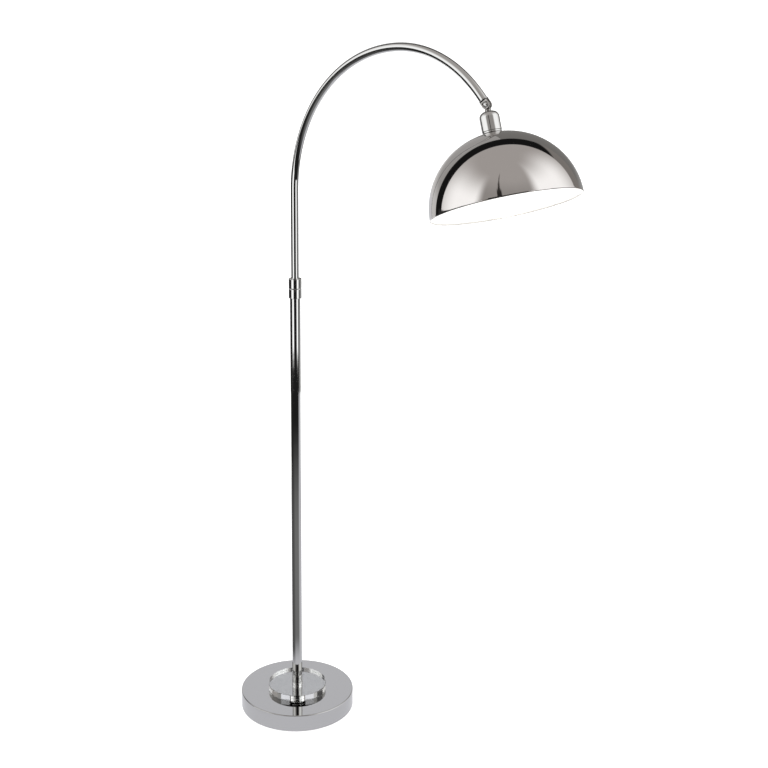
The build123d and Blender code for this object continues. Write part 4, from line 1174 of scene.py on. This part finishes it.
class LAMP_OT_stage(bpy.types.Operator):
    """Makes the pale floor, the studio's light and the camera"""

    bl_idname = "lamp.stage"
    bl_label = "Studio"

    def execute(self, context):
        scene = context.scene
        self.floor(scene)
        for card in CARDS:
            self.card(*card)
        self.surroundings(scene)
        self.camera(scene)
        scene.view_settings.view_transform = "Standard"
        return {"FINISHED"}

    def floor(self, scene):
        """A wide pale floor that is seen, and a lit disc of floor that the chrome mirrors."""
        colour = linear(scene.lamp_finishes.floor)
        material, _, _ = new_material(
            "Paper sweep, matt", in_Base_Color=colour, in_Roughness=0.9, in_Emission_Color=colour,
            in_Emission_Strength=FLOOR_LIFT,
        )
        self.disc("studio_floor", FLOOR_RADIUS, 0.0, material).visible_glossy = False
        material, tree, glow = new_material("Studio floor in mirrors", "ShaderNodeEmission")
        coordinates = add_node(tree, "ShaderNodeTexCoord")
        place, _, azimuth = self.turned_to_camera(tree, coordinates.outputs["Object"])
        length = add_node(tree, "ShaderNodeVectorMath", [(place, 0)], operation="LENGTH")
        dials = {"azimuth": azimuth, "distance": length.outputs["Value"]}
        tree.links.new(self.patched(tree, dials, FLOOR, FLOOR_PATCHES), glow.inputs["Color"])
        mirrored = self.disc("mirrored_floor", MIRRORED_FLOOR_RADIUS, MIRRORED_FLOOR_HEIGHT, material)
        self.for_mirrors(mirrored)

    def for_mirrors(self, surface):
        """Leaves a surface to be seen in mirrors and through glass, and nowhere else."""
        surface.visible_camera = False
        surface.visible_diffuse = False
        surface.visible_shadow = False

    def card(self, name, azimuth, distance, half_width, low, high, strength, tint):
        """An upright glowing card that faces the lamp."""
        material, _, _ = new_material(name, "ShaderNodeEmission", in_Color=self.lit(tint, strength))
        turn = math.radians(CAMERA_AZIMUTH + azimuth)
        away = np.array([math.cos(turn), math.sin(turn)])
        along = np.array([-math.sin(turn), math.cos(turn)])
        across = np.array([[-1, low], [1, low], [1, high], [-1, high]])
        flat = distance * away + half_width * across[:, :1] * along
        vertices = np.concatenate([flat, across[:, 1:]], axis=1)
        self.for_mirrors(self.surface(name, vertices, np.array([[0, 1, 2, 3]]), material))

    def disc(self, name, radius, height, material, segments=96):
        """A round floor: a fan about its middle."""
        angle = np.linspace(0, 2 * math.pi, segments, endpoint=False)
        rim = np.stack([radius * np.cos(angle), radius * np.sin(angle), 0 * angle + height], -1)
        vertices = np.concatenate([[(0, 0, height)], rim])
        step = np.arange(segments)
        faces = np.stack([0 * step, 1 + step, 1 + (step + 1) % segments], -1)
        return self.surface(name, vertices, faces, material)

    def surface(self, name, vertices, faces, material):
        """A mesh of the studio, which isn't part of the lamp."""
        mesh = bpy.data.meshes.new(name)
        mesh.from_pydata(vertices.tolist(), [], faces.tolist())
        mesh.materials.append(material)
        surface = bpy.data.objects.new(name, mesh)
        bpy.context.scene.collection.objects.link(surface)
        return surface

    def surroundings(self, scene):
        """Even pale light for what is seen or lit softly, and the studio's patches in mirrors."""
        world = bpy.data.worlds.new("Studio")
        world.use_nodes = True
        scene.world = world
        tree = world.node_tree
        tree.nodes.clear()
        coordinates = add_node(tree, "ShaderNodeTexCoord")
        _, parts, azimuth = self.turned_to_camera(tree, coordinates.outputs["Generated"])
        elevation = self.degrees(tree, "ARCSINE", parts[2])
        dials = {
            "azimuth": azimuth,
            "elevation": elevation,
            "spread": self.degrees(tree, "ARCCOSINE", computed(tree, "MULTIPLY", parts[0], -1.0)),
            "lean": computed(tree, "MULTIPLY_ADD", elevation, STAND_LEAN, azimuth),
        }
        colour = self.patched(tree, dials, ROOM, ROOM_PATCHES)
        studio = add_node(tree, "ShaderNodeBackground", [(colour, "Color")])
        plain = add_node(tree, "ShaderNodeBackground", in_Color=linear(WHITE), in_Strength=PLAIN_LIGHT)
        path = add_node(tree, "ShaderNodeLightPath").outputs
        seen = computed(tree, "MAXIMUM", path["Is Camera Ray"], path["Is Diffuse Ray"])
        mix = add_node(
            tree, "ShaderNodeMixShader", [(seen, 0), (studio.outputs[0], 1), (plain.outputs[0], 2)]
        )
        add_node(tree, "ShaderNodeOutputWorld", [(mix.outputs[0], "Surface")])

    def turned_to_camera(self, tree, socket):
        """A vector turned about Z, so that its x axis points at the camera; its three parts; and
        its azimuth in degrees."""
        turn = add_node(
            tree, "ShaderNodeVectorRotate", [(socket, "Vector")], rotation_type="Z_AXIS",
            in_Angle=-math.radians(CAMERA_AZIMUTH),
        )
        parts = add_node(tree, "ShaderNodeSeparateXYZ", [(turn.outputs[0], 0)]).outputs
        return turn.outputs[0], parts, self.degrees(tree, "ARCTAN2", parts[1], parts[0])

    def degrees(self, tree, operation, *sockets):
        """An angle worked out by a math node, in degrees."""
        return computed(tree, "DEGREES", computed(tree, operation, *sockets))

    def patched(self, tree, dials, ground, patches):
        """The ground's colour with each patch laid over it in turn, by the product of its
        windows on the dials."""
        _, _, strength, tint = ground
        start = add_node(tree, "ShaderNodeRGB")
        start.outputs[0].default_value = self.lit(tint, strength)
        colour = start.outputs[0]
        for _, bounds, strength, tint in patches:
            mask = 1.0
            for dial, span in bounds.items():
                mask = computed(tree, "MULTIPLY", self.window(tree, dials[dial], span), mask)
            mix = add_node(
                tree, "ShaderNodeMix", [(mask, 0), (colour, 6)], data_type="RGBA",
                in_7=self.lit(tint, strength),
            )
            colour = mix.outputs[2]
        return colour

    def lit(self, tint, strength):
        """A colour at a brightness."""
        return [strength * channel for channel in linear(tint)[:3]] + [1]

    def window(self, tree, socket, span):
        """One inside a span and nothing outside, easing over a soft width at each end."""
        low, high, low_soft, high_soft = span
        rise = ranged(tree, socket, low - low_soft / 2, low + low_soft / 2, 0, 1, True)
        fall = ranged(tree, socket, high - high_soft / 2, high + high_soft / 2, 1, 0, True)
        return computed(tree, "MULTIPLY", rise, fall)

    def camera(self, scene):
        """The camera's place, and its yaw, tilt and roll."""
        data = bpy.data.cameras.new("studio_camera")
        data.lens = CAMERA_LENS
        data.sensor_width = 36.0
        camera = bpy.data.objects.new("studio_camera", data)
        scene.collection.objects.link(camera)
        azimuth = math.radians(CAMERA_AZIMUTH)
        away = CAMERA_DISTANCE * math.cos(azimuth), CAMERA_DISTANCE * math.sin(azimuth)
        place = Matrix.Translation((*away, CAMERA_HEIGHT))
        yaw = Matrix.Rotation(math.radians(CAMERA_YAW), 4, "Z")
        tilt = Matrix.Rotation(math.radians(CAMERA_TILT), 4, "X")
        roll = Matrix.Rotation(math.radians(CAMERA_ROLL), 4, "Z")
        camera.matrix_world = place @ yaw @ tilt @ roll
        scene.camera = camera


class LAMP_PT_panel(bpy.types.Panel):
    """Buttons for each group of pieces"""

    bl_idname = "LAMP_PT_panel"
    bl_label = "Arc floor lamp"
    bl_space_type = "VIEW_3D"
    bl_region_type = "UI"
    bl_category = "Lamp"

    def draw(self, context):
        layout = self.layout
        for operator in OPERATORS:
            layout.operator(operator.bl_idname)
        for group in (context.scene.lamp_sizes, context.scene.lamp_finishes):
            for name in group.__annotations__:
                layout.prop(group, name)


OPERATORS = (
    LAMP_OT_base,
    LAMP_OT_pole,
    LAMP_OT_arm,
    LAMP_OT_knuckle,
    LAMP_OT_head,
    LAMP_OT_bulb,
    LAMP_OT_stage,
)
CLASSES = (LampSizes, LampFinishes, *OPERATORS, LAMP_PT_panel)


def register():
    """Registers the classes and hangs the settings on the scene."""
    for cls in CLASSES:
        bpy.utils.register_class(cls)
    bpy.types.Scene.lamp_sizes = bpy.props.PointerProperty(type=LampSizes)
    bpy.types.Scene.lamp_finishes = bpy.props.PointerProperty(type=LampFinishes)


def unregister():
    """Takes the settings and the classes away again."""
    del bpy.types.Scene.lamp_finishes
    del bpy.types.Scene.lamp_sizes
    for cls in reversed(CLASSES):
        bpy.utils.unregister_class(cls)


def main():
    """Builds the lamp and its studio."""
    register()
    bpy.ops.lamp.base()
    bpy.ops.lamp.pole()
    bpy.ops.lamp.arm()
    bpy.ops.lamp.knuckle()
    bpy.ops.lamp.head()
    bpy.ops.lamp.bulb()
    bpy.ops.lamp.stage()


if __name__ == "__main__":
    main()
